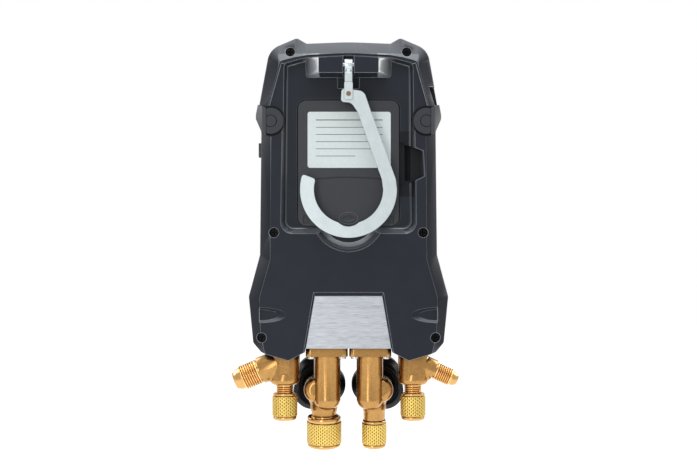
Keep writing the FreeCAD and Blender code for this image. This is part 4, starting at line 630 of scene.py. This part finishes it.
# Looks of the nodes that each of the four ports has one of, and the colours of the knobs' inserts
PORT_LOOKS = {"knob": KNOB, "spindle": STEEL, "piston": TURNED, "cap": TURNED, "cap_seal": SEAL}
INSERTS = {
    "outer_left": (0.50, 0.02, 0.018), "outer_right": (0.015, 0.10, 0.42),
    "centre_left": (0.26, 0.27, 0.28), "centre_right": (0.72, 0.46, 0.02),
}


def paint(obj, *materials):
    """Gives a piece its materials in the order of its faces' indices, which clearing would reset."""
    if obj.data.materials:
        obj.data.materials.clear()
    for material in materials:
        obj.data.materials.append(material)


def soften(obj, width_mm):
    """Rounds the sharp edges of a carried-over piece by modifiers alone."""
    obj.modifiers.new("weld", "WELD").merge_threshold = WELD_DISTANCE * MM
    flat = obj.modifiers.new("join_flat_faces", "DECIMATE")
    flat.decimate_type = "DISSOLVE"
    flat.angle_limit = FLAT_ANGLE
    bevel = obj.modifiers.new("round_edges", "BEVEL")
    bevel.width = width_mm * MM
    bevel.segments = BEVEL_STEPS
    bevel.limit_method = "ANGLE"
    bevel.angle_limit = SHARP_ANGLE
    bevel.harden_normals = True


def dress_nodes():
    """Gives every CAD node its material, and softens those whose edges show."""
    for material, names in NODE_LOOKS.items():
        for name in names:
            paint(NODES[name], material)
    for port, colour in INSERTS.items():
        for kind, material in PORT_LOOKS.items():
            paint(NODES[f"{kind}_{port}"], material)
        paint(NODES[f"knob_insert_{port}"], plastic(f"insert_{port}", colour, 0.4, painted_edge=1.3))
    for name, width in SOFT_EDGES.items():
        soften(NODES[name], width)


def new_object(name, data):
    """An object for a mesh, a lamp or a camera, linked to the scene."""
    obj = bpy.data.objects.new(name, data)
    bpy.context.scene.collection.objects.link(obj)
    return obj


def new_piece(name, points, faces):
    """An object with a mesh of points in metres."""
    mesh = bpy.data.meshes.new(name)
    mesh.from_pydata(points, [], faces)
    return new_object(name, mesh)


def shifted(steps, radius, distance):
    """Points of a profile at steps from a radius and a distance."""
    return [(radius + outward, distance + onward) for outward, onward in steps]


def spaced(start, end, step):
    """Evenly spaced distances from start to end, about step apart."""
    return np.linspace(start, end, max(2, int(round(abs(end - start) / step)) + 1))


def lathe(name, before, cut, after, around, start, along, relief):
    """A turned piece from a start along a direction, through three runs of (radius, distance) points.

    relief(angles, distance) is taken off the radius and kept as the groove attribute. The faces that end on
    a point of the run called cut get the second material, and the others the first."""
    radii, distances = np.array(before + cut + after).T[:, :, None]
    angles = np.linspace(0, TURN, around, endpoint=False)
    depth = np.stack([relief(angles, distance) for distance in distances[:, 0]])
    radii = radii - depth
    rings = np.stack([radii * np.cos(angles), radii * np.sin(angles), distances + 0 * angles], axis=2)
    turn = np.array(Vector((0, 0, 1)).rotation_difference(Vector(along)).to_matrix())
    points = (rings.reshape(-1, 3) @ turn.T + np.array(start)) * MM
    last = len(rings) - 1
    marked = range(len(before) - 1, len(before) + len(cut) - 1)
    faces, kinds = [], []
    for i in range(last):
        for k in range(around):
            here, after_here = i * around + k, i * around + (k + 1) % around
            faces.append((here, after_here, after_here + around, here + around))
            kinds.append(int(i in marked))
    faces.append(tuple(reversed(range(around))))
    faces.append(tuple(range(last * around, (last + 1) * around)))
    kinds += [kinds[0], kinds[-1]]
    obj = new_piece(name, points.tolist(), faces)
    mesh = obj.data
    mesh.polygons.foreach_set("material_index", kinds)
    groove = mesh.attributes.new("groove", "FLOAT", "POINT")
    groove.data.foreach_set("value", (depth / depth.max()).ravel().astype(np.float32))
    mesh.shade_smooth()
    mesh.set_sharp_from_angle(angle=SMOOTH_ANGLE)
    return obj


def fit(obj, look, body, node):
    """Lets a turned brass piece ride on a body in place of a CAD node, its grooved faces in a look."""
    paint(obj, TURNED, look)
    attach(obj, body)
    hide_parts(node)


def thread_relief(pitch, start, end):
    """The cut of a right-handed thread between two distances, fading over half a turn at either end."""
    def relief(angles, distance):
        if not start <= distance <= end:
            return np.zeros_like(angles)
        phase = (distance / pitch - angles / TURN) % 1.0
        cut = np.clip(THREAD_STEEP * (1 - np.abs(2 * phase - 1) * THREAD_CREST), 0, 1)
        fade = min(1.0, (distance - start) / (0.5 * pitch), (end - distance) / (0.5 * pitch))
        return THREAD_DEPTH * cut * fade
    return relief


def stub(side):
    """A parking stub: a neck out of the forged collar, its thread and rounded flare nose."""
    spec = STUBS[side]
    r, pitch, start = spec["r"], spec["pitch"], spec["collar"]
    end = start + spec["thread"]
    tip = end + spec["nose"]
    neck = shifted(STUB_NECK, r, start)
    thread = [(r, d) for d in spaced(start + THREAD_LEAD, end, pitch / STUB_RINGS)]
    nose = shifted(STUB_NOSE, r, end) + shifted(STUB_TIP, r, tip)
    angle = math.radians(spec["angle"])
    along = (math.copysign(math.cos(angle), spec["x"]), 0, -math.sin(angle))
    obj = lathe(f"stub_thread_{side}", [(AXIS_R, neck[0][1])] + neck, thread, nose + [(AXIS_R, tip)],
                STUB_AROUND, (spec["x"], OUTER_Y, STUB_Z), along, thread_relief(pitch, start, end))
    fit(obj, THREADED, "housing", "parking_stubs")


def nipple(name):
    """A threaded port end that shows between its body and the cap, and whole once the cap is off."""
    spec = PORTS[name]
    r, pitch, tip = spec["r"], spec["pitch"], spec["nipple"]
    end = tip - NIPPLE_NOSE
    thread = [(r, d) for d in spaced(THREAD_LEAD, end, pitch / NIPPLE_RINGS)]
    nose = [(r - NIPPLE_TAPER, tip), (PASSAGE_R, tip), (PASSAGE_R, tip - PASSAGE_DEPTH),
            (AXIS_R, tip - PASSAGE_DEPTH)]
    at = Vector(spec["at"]) + Vector(spec["along"]) * spec["nipple_at"]
    obj = lathe(f"nipple_thread_{name}", [(r - THREAD_DEPTH, 0.0)], thread, nose, NIPPLE_AROUND, at,
                spec["along"], thread_relief(pitch, 0.0, end))
    fit(obj, THREADED, "housing", "port_nipples")


def knurl_relief(count, start, end):
    """Narrow lozenge pits between two distances, a count round the cap, in rows that stagger."""
    def relief(angles, distance):
        if not start < distance < end:
            return np.zeros_like(angles)
        column = angles / TURN * count
        row = (distance - start) / KNURL_ROW
        pit = np.zeros_like(angles)
        for shift in (0.0, 0.5):
            across = np.abs((column + shift) % 1.0 - 0.5) * KNURL_COLUMN / PIT_ACROSS
            onward = np.abs((row + shift) % 1.0 - 0.5) * KNURL_ROW / PIT_ALONG
            pit = np.maximum(pit, np.clip(1.0 - across - onward, 0, 1))
        return PIT_DEPTH * np.sqrt(pit)
    return relief


def cap(name):
    """A cap with a knurled band between two smooth rims, bored open from its mouth."""
    spec = PORTS[name]
    r, end = spec["cap_r"], spec["cap"]
    rim, bore, wall = r - CAP_RIM_STEP, spec["r"] + CAP_PLAY, end - CAP_END_WALL
    band_start, band_end = spec["rim"], end - CAP_END_RIM
    before = [(AXIS_R, wall), (bore, wall), (bore, 0.0)] + shifted(CAP_MOUTH, rim, 0.0)
    before += shifted(CAP_STEP_IN, rim, band_start) + shifted(BAND_START, r, band_start)
    band = shifted(BAND_EDGE, r, band_start)
    band += [(r, d) for d in spaced(band_start + BAND_MARGIN, band_end - BAND_MARGIN, BAND_SPACING)]
    band += shifted(BAND_END, r, band_end)
    after = shifted(CAP_STEP_OUT, rim, band_end) + shifted(CAP_FOOT, rim, end) + [(AXIS_R, end)]
    count = round(TURN * r / KNURL_COLUMN)
    at = Vector(spec["at"]) + Vector(spec["along"]) * spec["cap_at"]
    obj = lathe(f"knurled_cap_{name}", before, band, after, PIT_POINTS * count, at, spec["along"],
                knurl_relief(count, band_start, band_end))
    fit(obj, KNURLED, f"cap_{name}", f"cap_{name}")


def rounded_rectangle(x0, x1, z0, z1, radius):
    """Corner points of an upright rounded rectangle as (x, z)."""
    points = []
    for cx, cz, first in ((x1 - radius, z1 - radius, 0), (x0 + radius, z1 - radius, 90),
                          (x0 + radius, z0 + radius, 180), (x1 - radius, z0 + radius, 270)):
        for k in range(CORNER_STEPS + 1):
            angle = math.radians(first + 90 * k / CORNER_STEPS)
            points.append((cx + radius * math.cos(angle), cz + radius * math.sin(angle)))
    return points


def plates(name, outlines, front, back):
    """Flat upright plates over (x, z) outlines, from a front to a back along Y, joined in one mesh."""
    points, faces = [], []
    for outline in outlines:
        base, count = len(points), len(outline)
        points += [(x * MM, y * MM, z * MM) for y in (front, back) for x, z in outline]
        faces.append(tuple(base + k for k in range(count)))
        faces.append(tuple(base + count + k for k in reversed(range(count))))
        for k in range(count):
            after = (k + 1) % count
            faces.append((base + after, base + k, base + count + k, base + count + after))
    return new_piece(name, points, faces)


def label():
    """The blank label with plain ruled lines, on the battery cover."""
    face = LABEL_Y - LABEL_THICK
    sheet = rounded_rectangle(*LABEL, LABEL_CORNER)
    rules = [[(x0, z), (x1, z), (x1, z + width), (x0, z + width)] for z, width, x0, x1 in RULES]
    ink = plastic("label_ink", (0.07, 0.075, 0.08), painted_edge=1.0, relief=0.05)
    for name, outlines, front, back, material in (("label", [sheet], face, LABEL_Y, label_film()),
                                                  ("label_rules", rules, face - INK_THICK, face, ink)):
        obj = plates(name, outlines, front, back)
        paint(obj, material)
        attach(obj, "battery_cover")


def softbox(name, place, size, watts, colour):
    """A rectangular lamp that points at the object and that the camera doesn't see."""
    light = bpy.data.lights.new(name, "AREA")
    light.shape = "RECTANGLE"
    light.size, light.size_y = size
    light.energy = watts
    light.color = colour
    obj = new_object(name, light)
    obj.location = place
    obj.rotation_euler = (Vector(LAMP_TARGET) - obj.location).to_track_quat("-Z", "Y").to_euler()
    obj.visible_camera = False


def shown_rays(tree):
    """1 for the rays that show the background: straight to the camera, in reflections and through glass."""
    rays = add(tree, "ShaderNodeLightPath").outputs
    shown = rays["Is Camera Ray"]
    for kind in ("Is Glossy Ray", "Is Transmission Ray"):
        shown = calculate(tree, "MAXIMUM", shown, rays[kind])
    return shown


def floor():
    """A plain pale floor below the object."""
    height = CAD_BOX[0][2] - FLOOR_DROP
    corners = [(-FLOOR_REACH, FLOOR_NEAR), (FLOOR_REACH, FLOOR_NEAR),
               (FLOOR_REACH, FLOOR_REACH), (-FLOOR_REACH, FLOOR_REACH)]
    obj = new_piece("floor", [(x, y, height) for x, y in corners], [(0, 1, 2, 3)])
    material, tree, shader = blank("floor_paint", Roughness=0.9, Emission_Color=rgba(WHITE))
    connect(tree, shader, Base_Color=mottle(tree, 4.0, *FLOOR_TONES),
            Emission_Strength=remap(tree, shown_rays(tree), 0, 1, 0.0, FLOOR_GLOW))
    paint(obj, material)


def world():
    """A plain world, whose background shows white."""
    studio = bpy.data.worlds.new("studio")
    bpy.context.scene.world = studio
    studio.use_nodes = True
    tree = studio.node_tree
    connect(tree, tree.nodes["Background"], Color=mix(tree, shown_rays(tree), [WORLD_LEVEL] * 3, WHITE))


def camera():
    """The camera at the place from which the photograph was taken."""
    data = bpy.data.cameras.new("camera")
    data.sensor_fit = "HORIZONTAL"
    data.sensor_width = SENSOR_MM
    data.lens = CAMERA_FOCAL_PX / IMAGE_WIDTH_PX * SENSOR_MM
    data.clip_start, data.clip_end = CAMERA_CLIP
    obj = new_object("camera", data)
    obj.location = CAMERA_PLACE
    obj.rotation_euler = (math.radians(90), 0, 0)
    bpy.context.scene.camera = obj


dress_nodes()
for side in STUBS:
    stub(side)
for name in PORTS:
    nipple(name)
    cap(name)
label()
for name, settings in SOFTBOXES.items():
    softbox(name, *settings)
floor()
world()
camera()
bpy.context.scene.view_settings.view_transform = "Standard"
